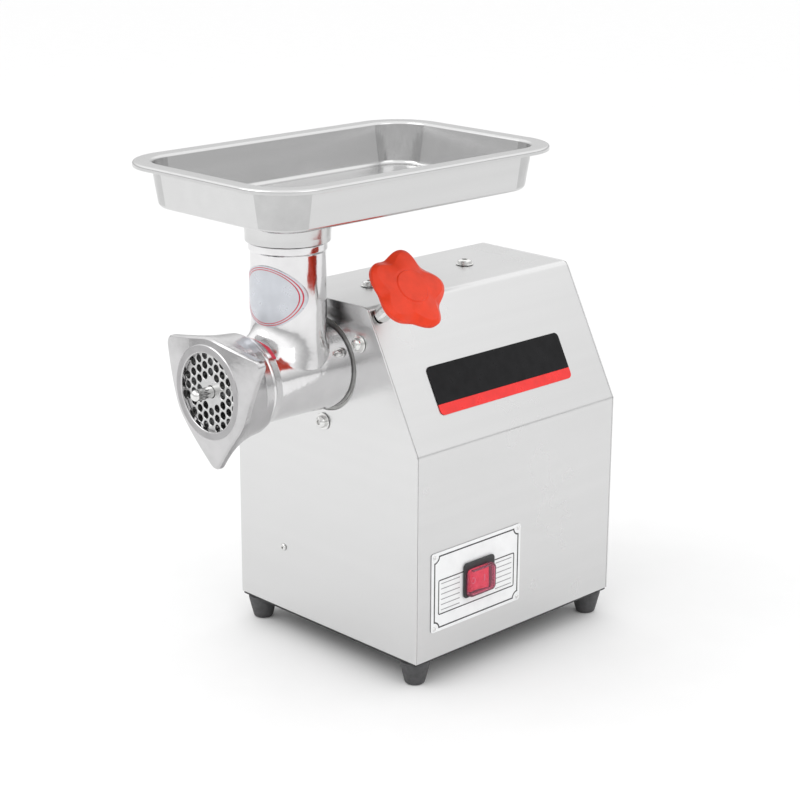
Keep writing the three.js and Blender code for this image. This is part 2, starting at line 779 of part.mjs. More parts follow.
const motor = {
  front: 88,
  statorFrom: 116.3,
  statorTo: 160,
  back: 188,
  radius: 48,
  shaft: 6,
  shaftTo: 205,
  air: 26.6, // bore of the stator
  rotor: 26,
};

function motorShaft() {
  const { from, to } = stage1;
  const pinion = gearOutline(stage1.module, stage1.pinion, gapUp(stage1.pinion), motorHeight);
  return join(
    rodY(motor.shaft, from - 1, motor.shaftTo, COARSE, 0, motorHeight),
    slabY(shapeOf(pinion), from - 1, to + 1),
  );
}

// A cup that holds one shaft bearing. `face` is its closed end and `rim` its open end.
function endBell(face, rim, bearingTo) {
  const inward = Math.sign(rim - face);
  const [wall, seat, boss] = [3, bearing.motorFront.outside + GAP, 19.5];
  const profile = [
    [motor.shaft + 1, face],
    [motor.radius - 2, face],
    [motor.radius, face + 2 * inward],
    [motor.radius, rim],
    [motor.radius - wall, rim],
    [motor.radius - wall, face + wall * inward],
    [boss, face + wall * inward],
    [boss, bearingTo],
    [seat, bearingTo],
    [seat, face + wall * inward],
    [motor.shaft + 1, face + wall * inward],
  ];
  return turnedY(profile, COARSE + 4, 0, motorHeight);
}

function winding(from, to) {
  const middle = (from + to) / 2;
  const profile = [
    [29, from + 2],
    [32, from],
    [40, from],
    [43, middle],
    [40, to],
    [32, to],
    [29, to - 2],
  ];
  return turnedY(profile, COARSE, 0, motorHeight);
}

function stator() {
  const { air, radius, statorFrom, statorTo } = motor;
  return tubeY(air, radius, statorFrom, statorTo, COARSE + 4, 0, motorHeight);
}

function rotor() {
  const profile = [
    [motor.shaft + GAP, motor.statorFrom - 4],
    [20, motor.statorFrom - 4],
    [24, motor.statorFrom],
    [motor.rotor, motor.statorFrom],
    [motor.rotor, motor.statorTo],
    [24, motor.statorTo],
    [20, motor.statorTo + 4],
    [motor.shaft + GAP, motor.statorTo + 4],
  ];
  return turnedY(profile, COARSE + 4, 0, motorHeight);
}

function fan() {
  const [from, to, radius, blades] = [191, 202, 38, 8];
  const hub = rodY(11, from, to, COARSE, 0, motorHeight);
  const disc = rodY(radius, from, from + 2, COARSE + 4, 0, motorHeight);
  const vanes = Array.from({ length: blades }, (_, i) =>
    block(9, radius - 1, from + 1, to, -1, 1)
      .rotateY((2 * Math.PI * i) / blades)
      .translate(0, 0, motorHeight),
  );
  const shaftHole = rodY(motor.shaft + GAP, from - 1, to + 1, COARSE, 0, motorHeight);
  return cut(join(hub, disc, ...vanes), shaftHole);
}

function motorCradle() {
  const [from, to] = [122, 154];
  const outline = [
    [-56, panelBottom],
    [56, panelBottom],
    [56, 6],
    [50, 6],
    [50, 100],
    [-50, 100],
    [-50, 6],
    [-56, 6],
  ].map(([x, z]) => new THREE.Vector2(x, z));
  const casting = slabY(shapeOf(outline, roundedRectangle(76, 42, 4, 0, 28)), from, to);
  return cut(casting, rodY(motor.radius + GAP, from - 1, to + 1, FINE, 0, motorHeight));
}

const capacitor = { x: 76, z: 26, radius: 20, from: 120, to: 180 };

function capacitorCan() {
  const { x, z, radius, from, to } = capacitor;
  const profile = [
    [0, from],
    [radius - 1, from],
    [radius, from + 1],
    [radius, to],
    [0, to],
  ];
  return turnedY(profile, COARSE, x, z);
}

function capacitorClip() {
  const { x, z, radius } = capacitor;
  const [from, to] = [142, 157];
  const strap = tubeY(radius + GAP, radius + 1.5, from, to, COARSE, x, z);
  return join(strap, block(x - 17, x + 17, from, to, panelBottom, panelBottom + 3.2));
}

piece("gearbox_housing", gearboxHousing(), castAluminium);
piece("gearbox_cover", gearboxCover(), castAluminium);
piece("oil_seal", bearingRing(seal, axisHeight), nitrile);
piece("output_shaft", outputShaft(), gearSteel);
piece("output_gear", wheel(stage2, 14, axisHeight), gearSteel);
piece("output_bearing_front", bearingRing(bearing.output, axisHeight), bearingSteel);
piece("output_bearing_rear", bearingRing(bearing.outputRear, axisHeight), bearingSteel);
piece("intermediate_shaft", intermediateShaft(), gearSteel);
piece("intermediate_gear", wheel(stage1, 8, intermediateHeight), gearSteel);
for (const [place, size] of [
  ["front", bearing.intermediate],
  ["rear", bearing.intermediateRear],
]) {
  piece(`intermediate_bearing_${place}`, bearingRing(size, intermediateHeight), bearingSteel);
}
piece("motor_shaft", motorShaft(), gearSteel);
piece("motor_rotor", rotor(), laminations);
piece("motor_fan", fan(), whitePlastic);
piece("motor_bearing_front", bearingRing(bearing.motorFront, motorHeight), bearingSteel);
piece("motor_bearing_rear", bearingRing(bearing.motorRear, motorHeight), bearingSteel);
piece("motor_stator", stator(), laminations);
piece("motor_winding_front", winding(motor.statorFrom - 11, motor.statorFrom - GAP), copper);
piece("motor_winding_rear", winding(motor.statorTo + GAP, motor.statorTo + 11), copper);
const bellFront = endBell(motor.front, motor.statorFrom - GAP, bearing.motorFront.to);
const bellRear = endBell(motor.back, motor.statorTo + GAP, bearing.motorRear.from);
piece("motor_end_bell_front", bellFront, castAluminium);
piece("motor_end_bell_rear", bellRear, castAluminium);
piece("motor_cradle", motorCradle(), castAluminium);
piece("capacitor", capacitorCan(), whitePlastic);
piece("capacitor_clip", capacitorClip(), zincSteel);

// ---------------------------------------------------------------- grinding head

const keyPin = { radius: 1.8, z: axisHeight - 31.2 };
const squareNose = 4.8; // half the width of the square that turns the knife

function headBarrel() {
  const { front, threadRadius, bore, spigot, rear } = barrel;
  const outside = [
    [0, front],
    [threadRadius - 1, front],
    [threadRadius, front + 1],
    [threadRadius, ringNut.back + GAP],
    [36.4, ringNut.back + GAP],
    [36.4, -77.5],
    [34, -75],
    [31.8, -70],
    [32.4, -30],
    [spigot, -8],
    [spigot, rear - 1],
    [spigot - 1, rear],
    [0, rear],
  ];
  const tube = [
    [0, axisHeight],
    [throat.radius + 2, axisHeight],
    [throat.radius + 2, axisHeight + 32],
    [throat.radius, axisHeight + 38],
    [throat.radius, 307],
    [throat.beadRadius, 309],
    [throat.beadRadius, 314],
    [throat.radius, 314],
    [throat.radius, throat.top],
    [0, throat.top],
  ];
  const casting = join(turnedY(outside, FINE, 0, axisHeight), turnedZ(tube, FINE, 0, throat.y));
  return cut(
    casting,
    rodY(bore, front - 1, -4, FINE, 0, axisHeight),
    rodY(plate.radius + 0.4, front - 1, plateBack + GAP, FINE, 0, axisHeight),
    rodZ(throat.bore, axisHeight, throat.top + 1, FINE, 0, throat.y),
    rodY(10 + GAP, -5, rear + 1, COARSE, 0, axisHeight),
    tubeY(14.5, 29.5, 4, rear + 1, COARSE, 0, axisHeight),
    rodY(keyPin.radius + GAP, front - 1, -97.7, TINY, 0, keyPin.z),
  );
}

// The flight is a lobed section that turns steadily as it runs along the worm.
function wormFlight(from, to) {
  const tip = [-26, -13, 0, 13, 26].map((angle) => polar(worm.flight, degToRad(angle)));
  const coreAngles = [52, 90, 135, 180, 225, 270, 308];
  const core = coreAngles.map((angle) => polar(worm.core, degToRad(angle)));
  const geometry = slabZ(shapeOf([...tip, ...core]), 0, to - from, 40);
  const at = geometry.attributes.position;
  for (let i = 0; i < at.count; i++) {
    const turn = (2 * Math.PI * at.getZ(i)) / worm.pitch;
    const [x, y] = [at.getX(i), at.getY(i)];
    at.setXY(i, x * Math.cos(turn) - y * Math.sin(turn), x * Math.sin(turn) + y * Math.cos(turn));
  }
  return geometry.rotateX(Math.PI / 2).translate(0, to, axisHeight);
}

function wormShape() {
  const { pinRadius, pinTip } = worm;
  const [flightFrom, flightTo, journalTo] = [-92, -5, barrel.rear + 0.7];
  const shaft = [
    [0, pinTip],
    [pinRadius * 0.5, pinTip + 0.5],
    [pinRadius * 0.87, pinTip + 2],
    [pinRadius, pinTip + 4.25],
    [pinRadius, flightFrom + 1],
    [10, flightTo - 1],
    [10, journalTo],
    [0, journalTo],
  ];
  const square = (half, from, to) =>
    block(-half, half, from, to, axisHeight - half, axisHeight + half);
  return join(
    turnedY(shaft, COARSE, 0, axisHeight),
    wormFlight(flightFrom, flightTo),
    square(squareNose, -101.8, flightFrom),
    square(driveSquare, journalTo - 1, 31),
  );
}

// Four swept arms on a round hub, with their flat faces towards the hole plate.
function knifeShape() {
  const face = plateBack + GAP;
  const armCorners = [
    [9, -25],
    [26.5, -8],
    [26.5, 14],
    [9.5, 32],
  ];
  const outline = [0, 90, 180, 270].flatMap((turn) =>
    armCorners.map(([radius, angle]) => polar(radius, degToRad(angle + turn), 0, axisHeight)),
  );
  const half = squareNose + GAP;
  return cut(
    join(slabY(shapeOf(outline), face, face + 4.8), rodY(11, face, -93.5, COARSE, 0, axisHeight)),
    block(-half, half, face - 1, -90, axisHeight - half, axisHeight + half),
  );
}

// Holes on a triangular lattice, leaving out the middle and what the ring nut's lip would cover.
function holePlate() {
  const holes = [];
  for (let column = -4; column <= 4; column++) {
    for (let row = -4; row <= 4; row++) {
      const x = column * plate.pitchX;
      const z = (row + (column % 2 ? 0.5 : 0)) * plate.pitchZ;
      const distance = Math.hypot(x, z);
      if (distance > 26.8 || distance < 8) continue;
      holes.push(circle(plate.hole, 6, x, axisHeight + z));
    }
  }
  const bore = circle(worm.pinRadius + 0.35, COARSE, 0, axisHeight);
  const disc = shapeOf(circle(plate.radius, FINE + 8, 0, axisHeight), bore, ...holes);
  const notch = rodY(keyPin.radius + 0.4, plate.front - 1, plateBack + 1, TINY, 0, keyPin.z);
  return cut(slabY(disc, plate.front, plateBack), notch);
}

// The ring nut's outline is a circle with three lugs, joined to their round tips by tangents.
const lugLean = Math.acos((ringNut.radius - ringNut.lugTip) / ringNut.lugReach);
const lugTipAngle = Math.atan2(
  ringNut.lugTip * Math.sin(lugLean),
  ringNut.lugReach + ringNut.lugTip * Math.cos(lugLean),
);

function ringNutRadius(fromLug) {
  const { radius, lugReach, lugTip } = ringNut;
  const away = Math.abs(fromLug);
  if (away >= lugLean) return radius;
  if (away > lugTipAngle) return radius / Math.cos(lugLean - away);
  return lugReach * Math.cos(away) + Math.sqrt(lugTip ** 2 - (lugReach * Math.sin(away)) ** 2);
}

function ringNutShape() {
  const { front, back, opening } = ringNut;
  const bore = barrel.threadRadius + 0.4;
  const lipBack = plate.front - GAP;
  const side = [lugTipAngle / 2, lugTipAngle];
  for (const share of [0.25, 0.5, 0.75, 1]) side.push(lugTipAngle + share * (lugLean - lugTipAngle));
  const offsets = [degToRad(-60), ...side.toReversed().map((angle) => -angle), 0, ...side];
  const around = boltAngles.flatMap((lug) =>
    offsets.map((offset) => ({ angle: degToRad(lug) + offset, outline: ringNutRadius(offset) })),
  );
  // Radius, y, and how much farther back the same ring lies at the tip of a lug.
  const profile = [
    [() => opening, front + 0.6, 0],
    [() => opening + 0.6, front, 0],
    [() => 34.8, front, 0],
    [(outline) => outline - 1.2, front + 1.6, 4],
    [(outline) => outline, front + 3.2, 4],
    [(outline) => outline, front + 8, 3.5],
    [(outline) => 38.6 + (outline - ringNut.radius) * 0.4, front + 17, 1.5],
    [() => 38, front + 24, 0],
    [() => 37.4, back, 0],
    [() => bore, back, 0],
    [() => bore, lipBack, 0],
    [() => opening, lipBack, 0],
  ];
  const lugLength = ringNut.lugReach + ringNut.lugTip - ringNut.radius;
  const rings = profile.map(([radius, y, sweep]) =>
    around.map(({ angle, outline }) => {
      const place = polar(radius(outline), angle, 0, axisHeight);
      const shift = (sweep * (outline - ringNut.radius)) / lugLength;
      return new THREE.Vector3(place.x, y + shift, place.y);
    }),
  );
  return loft(rings, true);
}

// An oval film that follows the throat, drawn flat and cut out of a thin ring.
function throatLabel() {
  const { radius, y } = throat;
  const size = { height: 45, z: 277.5, halfAngle: 66, towardsX: 12 };
  const film = turnedZ(tubeProfile(radius + GAP, radius + 0.8, 250, 305), FINE + 8);
  const widest = Math.sin(degToRad(size.halfAngle)) * (radius + 0.8);
  const oval = circle(1, COARSE + 8).map(
    (point) => new THREE.Vector2(point.x * widest, size.z + (point.y * size.height) / 2),
  );
  const punch = slabY(shapeOf(oval), -radius - 2, 0);
  return common(film, punch).rotateZ(degToRad(size.towardsX)).translate(0, y, 0);
}

// Rounded rectangle at one height of the tray, moved in from its rim.
function trayRing(inset, z) {
  const middle = (tray.front + tray.back) / 2;
  const width = 2 * (tray.halfWidth - inset);
  const length = tray.back - tray.front - 2 * inset;
  const outline = roundedRectangle(width, length, tray.corner - inset, 0, middle, 5);
  return outline.map(({ x, y }) => new THREE.Vector3(x, y, z));
}

function trayShape() {
  const { top, floor, sheet, rim } = tray;
  const centre = (z) => trayRing(0, z).map(() => new THREE.Vector3(0, throat.y, z));
  const rings = [
    centre(floor),
    trayRing(21, floor),
    trayRing(18.6, floor + 1.6),
    trayRing(17.5, floor + 5),
    trayRing(rim + sheet + 0.5, top - 2.5),
    trayRing(rim, top - sheet),
    trayRing(sheet, top - sheet),
    trayRing(sheet, top - 3.5),
    trayRing(0, top - 3.5),
    trayRing(0, top),
    trayRing(rim, top),
    trayRing(rim + 2 + sheet, top - 2.5),
    trayRing(17.5 + sheet, floor + 5.4),
    trayRing(19.6, floor + 2.4),
    trayRing(22, floor + sheet),
    centre(floor + sheet),
  ];
  const neck = [
    [throat.bore - GAP - sheet, 296],
    [throat.bore - GAP, 296],
    [throat.bore - GAP, throat.top + GAP],
    [30, throat.top + GAP],
    [30, 314.4],
    [31.2, 314.4],
    [32.3, 333],
    [35, floor + 0.4],
    [throat.bore - GAP - sheet, floor + 0.4],
  ];
  const feedHole = rodZ(throat.bore - GAP - sheet, 290, floor + 5, FINE, 0, throat.y);
  return cut(join(loft(rings, false), turnedZ(neck, FINE, 0, throat.y)), feedHole);
}

piece("head_barrel", headBarrel(), polished);
piece("plate_key_pin", rodY(keyPin.radius, -106.5, -98, TINY, 0, keyPin.z), zincSteel);
piece("worm", wormShape(), castAluminium);
piece("knife", knifeShape(), gearSteel);
piece("hole_plate", holePlate(), zincSteel);
piece("ring_nut", ringNutShape(), polished);
piece("throat_label", throatLabel(), silverFilm);
piece("feed_tray", trayShape(), stainless);

export default grinder;
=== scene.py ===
# The looks of a countertop electric meat grinder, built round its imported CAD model.
#
# Lengths are millimetres in the machine's own frame, as the CAD was drawn: x = 0 in the mid-plane
# with the switch on the +X side, y = 0 on the front panel's outer face with the head towards -Y,
# and z = 0 under the base plate. origin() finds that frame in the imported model.

from math import acos, asin, atan2, cos, hypot, pi, radians, sin, sqrt, tan

import bmesh
import bpy
from mathutils import Matrix, Vector
from mathutils.geometry import tessellate_polygon


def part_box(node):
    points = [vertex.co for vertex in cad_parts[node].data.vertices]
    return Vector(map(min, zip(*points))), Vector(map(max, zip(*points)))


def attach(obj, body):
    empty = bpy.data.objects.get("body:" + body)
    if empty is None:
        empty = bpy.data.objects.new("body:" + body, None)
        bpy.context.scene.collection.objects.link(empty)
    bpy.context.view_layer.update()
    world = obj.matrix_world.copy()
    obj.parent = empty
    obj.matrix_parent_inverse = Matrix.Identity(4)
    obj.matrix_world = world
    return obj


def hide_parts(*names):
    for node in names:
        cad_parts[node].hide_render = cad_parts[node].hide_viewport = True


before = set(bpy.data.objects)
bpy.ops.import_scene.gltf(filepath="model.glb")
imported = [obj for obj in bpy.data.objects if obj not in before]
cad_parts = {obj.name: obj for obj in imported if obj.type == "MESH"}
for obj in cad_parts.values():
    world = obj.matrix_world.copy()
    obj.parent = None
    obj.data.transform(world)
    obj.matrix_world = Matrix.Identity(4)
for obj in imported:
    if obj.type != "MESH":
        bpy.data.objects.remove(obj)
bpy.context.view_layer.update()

MM = 0.001

# ---------------------------------------------------------------- driving dimensions

SHEET = 1.2  # stainless sheet of the casing
GAP = 0.3  # left between neighbouring pieces
AXIS_HEIGHT = 215  # centre of the head and the worm

HALF_WIDTH = 100
DEPTH = 220
SHOULDER = 164
TOP_HALF_WIDTH = 47
TOP = 266
BEND = 5.5
PANEL_BOTTOM = 1.8
SLANT = atan2(HALF_WIDTH - TOP_HALF_WIDTH, TOP - SHOULDER)

PLATE_FRONT = -107.6
PLATE_THICKNESS = 5.5
THROAT_Y = -33.4
THROAT_RADIUS = 27.6
THROAT_TOP = 335.4
BARREL_RADIUS = 32.4  # halfway along, where the throat stands
SPIGOT_RADIUS = 33.3
RING_FRONT = -111.4
RING_BACK = -80
RING_RADIUS = 40
LUG_REACH = 54
LUG_TIP = 5
LUG_SWEEP = 4  # how far a lug's tip lies behind the ring's face
LUG_ANGLES = (30, 150, 270)
BOLT_CIRCLE = 45.5
TRAY_HALF_WIDTH = 92.5
TRAY_FRONT = -121.7
TRAY_BACK = 169.4
TRAY_TOP = 371.2
TRAY_FLOOR = 337.5
TRAY_CORNER = 42
CLAMP_Y = 9
CLAMP_ANGLE = 40.6
KNOB_BACK = 86
KNOB_FACE = 112.5
PIN_TIP = -124.5
SWITCH_Y = 64.5
SWITCH_Z = 54
FRAME_RAISE = 2  # the switch's frame stands this much above its rocker
BOX_RAISE = 1
FOOT_HEIGHT = 19


def origin():
    panel_low, panel_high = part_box("front_panel")
    base_low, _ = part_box("base_plate")
    return Vector(((panel_low.x + panel_high.x) / 2, panel_low.y, base_low.z))


ORIGIN = origin()

# Local frames: a turned piece is drawn about local Z, a sheet in local X and Y.
ALONG_X = Matrix(((0, 0, 1, 0), (1, 0, 0, 0), (0, 1, 0, 0), (0, 0, 0, 1)))
ALONG_Y = Matrix(((1, 0, 0, 0), (0, 0, 1, 0), (0, -1, 0, 0), (0, 0, 0, 1)))
FACING_FRONT = Matrix(((1, 0, 0, 0), (0, 0, -1, 0), (0, 1, 0, 0), (0, 0, 0, 1)))
UPRIGHT = Matrix.Identity(4)


def at(x, y, z, turned=UPRIGHT):
    return Matrix.Translation((x, y, z)) @ turned


# ---------------------------------------------------------------- outlines and shapes


def polar(radius, angle, x=0, y=0):
    return Vector((x + radius * cos(angle), y + radius * sin(angle)))


def circle(radius, steps=48, x=0, y=0):
    return [polar(radius, 2 * pi * i / steps, x, y) for i in range(steps)]


def arc_points(radius, start, end, steps, x=0, y=0):
    return [polar(radius, start + (end - start) * i / steps, x, y) for i in range(steps + 1)]


def filleted(corners, radii, steps=5):
    """A closed outline with each corner replaced by an arc that touches its two sides."""
    points = [Vector(corner) for corner in corners]
    outline = []
    for i, corner in enumerate(points):
        radius = radii[i] if isinstance(radii, (list, tuple)) else radii
        if radius == 0:
            outline.append(corner)
            continue
        before = (points[i - 1] - corner).normalized()
        after = (points[(i + 1) % len(points)] - corner).normalized()
        half = before.angle(after) / 2
        centre = corner + (before + after).normalized() * (radius / sin(half))
        start = corner + before * (radius / tan(half)) - centre
        end = corner + after * (radius / tan(half)) - centre
        first = atan2(start.y, start.x)
        turn = atan2(end.y, end.x) - first
        sweep = atan2(sin(turn), cos(turn))
        outline += arc_points(radius, first, first + sweep, steps, centre.x, centre.y)
    return outline


def rounded_rectangle(width, height, radius, x=0, y=0, steps=6):
    w, h = width / 2, height / 2
    corners = [(x - w, y - h), (x + w, y - h), (x + w, y + h), (x - w, y + h)]
    return filleted(corners, radius, steps)


def signed_area(outline):
    total = 0
    for i, point in enumerate(outline):
        after = outline[(i + 1) % len(outline)]
        total += point.x * after.y - point.y * after.x
    return total / 2


def anticlockwise(outline):
    return list(outline) if signed_area(outline) > 0 else list(reversed(outline))


def inset(outline, distance):
    """An anticlockwise outline with every side moved inwards."""
    moved = []
    for i, point in enumerate(outline):
        before = (point - outline[i - 1]).normalized()
        after = (outline[(i + 1) % len(outline)] - point).normalized()
        left_before = Vector((-before.y, before.x))
        left_after = Vector((-after.y, after.x))
        middle = (left_before + left_after).normalized()
        moved.append(point + middle * (distance / max(0.4, middle.dot(left_before))))
    return moved


def raised(outline, height):
    return [Vector((point.x, point.y, height)) for point in outline]


def joined(rings, wrap=False):
    """Points and faces of one surface through rings of equally many points."""
    count = len(rings[0])
    spans = len(rings) if wrap else len(rings) - 1
    faces = []
    for i in range(spans):
        low = i * count
        high = ((i + 1) % len(rings)) * count
        for j in range(count):
            k = (j + 1) % count
            faces.append((low + j, low + k, high + k, high + j))
    return [point for ring in rings for point in ring], faces


def slab(outline, low, high, holes=(), edge=0.2):
    """A flat sheet with holes, whose edges are taken off by a small chamfer."""
    loops = [(anticlockwise(outline), 1)] + [(anticlockwise(hole), -1) for hole in holes]
    points, faces = [], []
    bottom, top = [], []
    for loop, side in loops:
        narrowed = inset(loop, edge * side)
        rings = [
            raised(narrowed, low),
            raised(loop, low + edge),
            raised(loop, high - edge),
            raised(narrowed, high),
        ]
        ring_points, ring_faces = joined(rings)
        start = len(points)
        points += ring_points
        faces += [tuple(start + index for index in face) for face in ring_faces]
        bottom.append((start, rings[0]))
        top.append((start + 3 * len(loop), rings[3]))
    for cap in (bottom, top):
        indices = [start + i for start, ring in cap for i in range(len(ring))]
        for triangle in tessellate_polygon([ring for _, ring in cap]):
            faces.append(tuple(indices[corner] for corner in triangle))
    return points, faces


def lathe(profile, steps=64):
    """A profile of (radius, height) points turned about local Z."""
    closed = min(point[0] for point in profile) > 0
    rings = []
    for radius, height in profile:
        rings.append(raised(circle(radius, steps), height))
    return joined(rings, wrap=closed)


def soft_lathe(corners, radii, steps=64, arc_steps=4):
    return lathe(filleted(corners, radii, arc_steps), steps)


def together(*shapes):
    points, faces = [], []
    for shape_points, shape_faces in shapes:
        start = len(points)
        points += shape_points
        faces += [tuple(start + index for index in face) for face in shape_faces]
    return points, faces


def moved(shape, matrix):
    points, faces = shape
    return [matrix @ point.to_3d() for point in points], faces


# ---------------------------------------------------------------- pieces


def tidy_mesh(mesh, sharp_above):
    bm = bmesh.new()
    bm.from_mesh(mesh)
    bmesh.ops.remove_doubles(bm, verts=bm.verts, dist=0.002 * MM)
    bmesh.ops.dissolve_degenerate(bm, edges=bm.edges, dist=0.002 * MM)
    bmesh.ops.recalc_face_normals(bm, faces=bm.faces)
    bm.to_mesh(mesh)
    bm.free()
    mesh.shade_smooth()
    mesh.set_sharp_from_angle(angle=radians(sharp_above))


def mesh_object(name, shape, matrix=UPRIGHT, sharp_above=38):
    points, faces = shape
    mesh = bpy.data.meshes.new(name)
    mesh.from_pydata([ORIGIN + (matrix @ point.to_3d()) * MM for point in points], [], faces)
    tidy_mesh(mesh, sharp_above)
    made = bpy.data.objects.new(name, mesh)
    bpy.context.scene.collection.objects.link(made)
    return made


def weight_normals(made):
    weighted = made.modifiers.new("weighted", "WEIGHTED_NORMAL")
    weighted.keep_sharp = True


def piece(name, shape, material, body, nodes=(), matrix=UPRIGHT, sharp_above=38):
    made = mesh_object(name, shape, matrix, sharp_above)
    weight_normals(made)
    made.data.materials.append(MATERIALS[material])
    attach(made, body)
    if nodes:
        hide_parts(*nodes)
    return made


def boolean(target, tools, operation):
    """Cuts or joins the tools into the target's mesh, and removes the tools."""
    for tool in tools:
        modifier = target.modifiers.new("boolean", "BOOLEAN")
        modifier.operation = operation
        modifier.solver = "EXACT"
        modifier.object = tool
        bpy.context.view_layer.update()
        evaluated = target.evaluated_get(bpy.context.evaluated_depsgraph_get())
        result = bpy.data.meshes.new_from_object(evaluated)
        target.modifiers.clear()
        target.data = result
        bpy.data.objects.remove(tool)
    return target


# ---------------------------------------------------------------- materials


def shader(name, colour, roughness, metallic=0.0):
    material = bpy.data.materials.new(name)
    material.use_nodes = True
    principled = material.node_tree.nodes["Principled BSDF"]
    principled.inputs["Base Color"].default_value = (*colour, 1)
    principled.inputs["Roughness"].default_value = roughness
    principled.inputs["Metallic"].default_value = metallic
    return material, principled


def place_texture(material, stretch):
    nodes = material.node_tree.nodes
    coordinates = nodes.new("ShaderNodeTexCoord")
    mapping = nodes.new("ShaderNodeMapping")
    mapping.inputs["Scale"].default_value = stretch
    material.node_tree.links.new(coordinates.outputs["Object"], mapping.inputs["Vector"])
    return mapping.outputs["Vector"]


def noise(material, size, stretch=(1, 1, 1), detail=3, rough=0.55):
    """Noise whose features are about `size` millimetres, longer where the stretch is small."""
    texture = material.node_tree.nodes.new("ShaderNodeTexNoise")
    texture.inputs["Scale"].default_value = 1 / (size * MM)
    texture.inputs["Detail"].default_value = detail
    texture.inputs["Roughness"].default_value = rough
    material.node_tree.links.new(place_texture(material, stretch), texture.inputs["Vector"])
    return texture.outputs["Fac"]


def grains(material, size):
    texture = material.node_tree.nodes.new("ShaderNodeTexVoronoi")
    texture.inputs["Scale"].default_value = 1 / (size * MM)
    material.node_tree.links.new(place_texture(material, (1, 1, 1)), texture.inputs["Vector"])
    return texture.outputs["Distance"]


def bands(material, size, direction, distortion=0.0):
    texture = material.node_tree.nodes.new("ShaderNodeTexWave")
    texture.bands_direction = direction
    texture.inputs["Scale"].default_value = 0.3 / (size * MM)
    texture.inputs["Distortion"].default_value = distortion
    texture.inputs["Detail"].default_value = 2
    material.node_tree.links.new(place_texture(material, (1, 1, 1)), texture.inputs["Vector"])
    return texture.outputs["Fac"]


def spread(material, value, low, high):
    """Maps a texture's middle range onto low..high."""
    node = material.node_tree.nodes.new("ShaderNodeMapRange")
    node.inputs["From Min"].default_value = 0.3
    node.inputs["From Max"].default_value = 0.7
    node.inputs["To Min"].default_value = low
    node.inputs["To Max"].default_value = high
    material.node_tree.links.new(value, node.inputs["Value"])
    return node.outputs["Result"]


def tint(material, value, dark, light):
    ramp = material.node_tree.nodes.new("ShaderNodeValToRGB")
    ramp.color_ramp.elements[0].position = 0.3
    ramp.color_ramp.elements[0].color = (*dark, 1)
    ramp.color_ramp.elements[1].position = 0.7
    ramp.color_ramp.elements[1].color = (*light, 1)
    material.node_tree.links.new(value, ramp.inputs["Fac"])
    return ramp.outputs["Color"]


def emboss(material, principled, layers):
    """Bump from (height, depth in millimetres) layers, one on another."""
    normal = None
    for height, depth in layers:
        node = material.node_tree.nodes.new("ShaderNodeBump")
        node.inputs["Distance"].default_value = depth * MM
        node.inputs["Strength"].default_value = 1
        material.node_tree.links.new(height, node.inputs["Height"])
        if normal is not None:
            material.node_tree.links.new(normal, node.inputs["Normal"])
        normal = node.outputs["Normal"]
    material.node_tree.links.new(normal, principled.inputs["Normal"])


def scaled(colour, factor):
    return tuple(min(1.0, channel * factor) for channel in colour)


def finish(name, colour, roughness, metallic, mottle, patch, relief, variation=0.12):
    """A surface with blotches of tone and roughness `patch` mm wide, and relief layers."""
    material, principled = shader(name, colour, roughness, metallic)
    blotches = noise(material, patch)
    link = material.node_tree.links.new
    link(
        tint(material, blotches, scaled(colour, 1 - mottle), scaled(colour, 1 + mottle)),
        principled.inputs["Base Color"],
    )
    link(
        spread(material, blotches, roughness * (1 + variation), roughness * (1 - variation)),
        principled.inputs["Roughness"],
    )
    emboss(material, principled, [(make(material), depth) for make, depth in relief])
    return material, principled


def brushed(name, colour, roughness, along, mottle=0.012):
    """Brushed sheet: fine scratches that run along one axis."""
    stretch = tuple(0.02 if axis == along else 1 for axis in "XYZ")
    material, principled = shader(name, colour, roughness, 1.0)
    link = material.node_tree.links.new
    broad = noise(material, 9, stretch, detail=4)
    fine = noise(material, 0.7, stretch, detail=2)
    cloud = noise(material, 60)
    link(
        tint(material, broad, scaled(colour, 1 - mottle), scaled(colour, 1 + mottle)),
        principled.inputs["Base Color"],
    )
    link(spread(material, cloud, roughness * 0.88, roughness * 1.12), principled.inputs["Roughness"])
    emboss(material, principled, [(fine, 0.003), (noise(material, 130), 0.03)])
    return material


STEEL = (0.67, 0.67, 0.67)


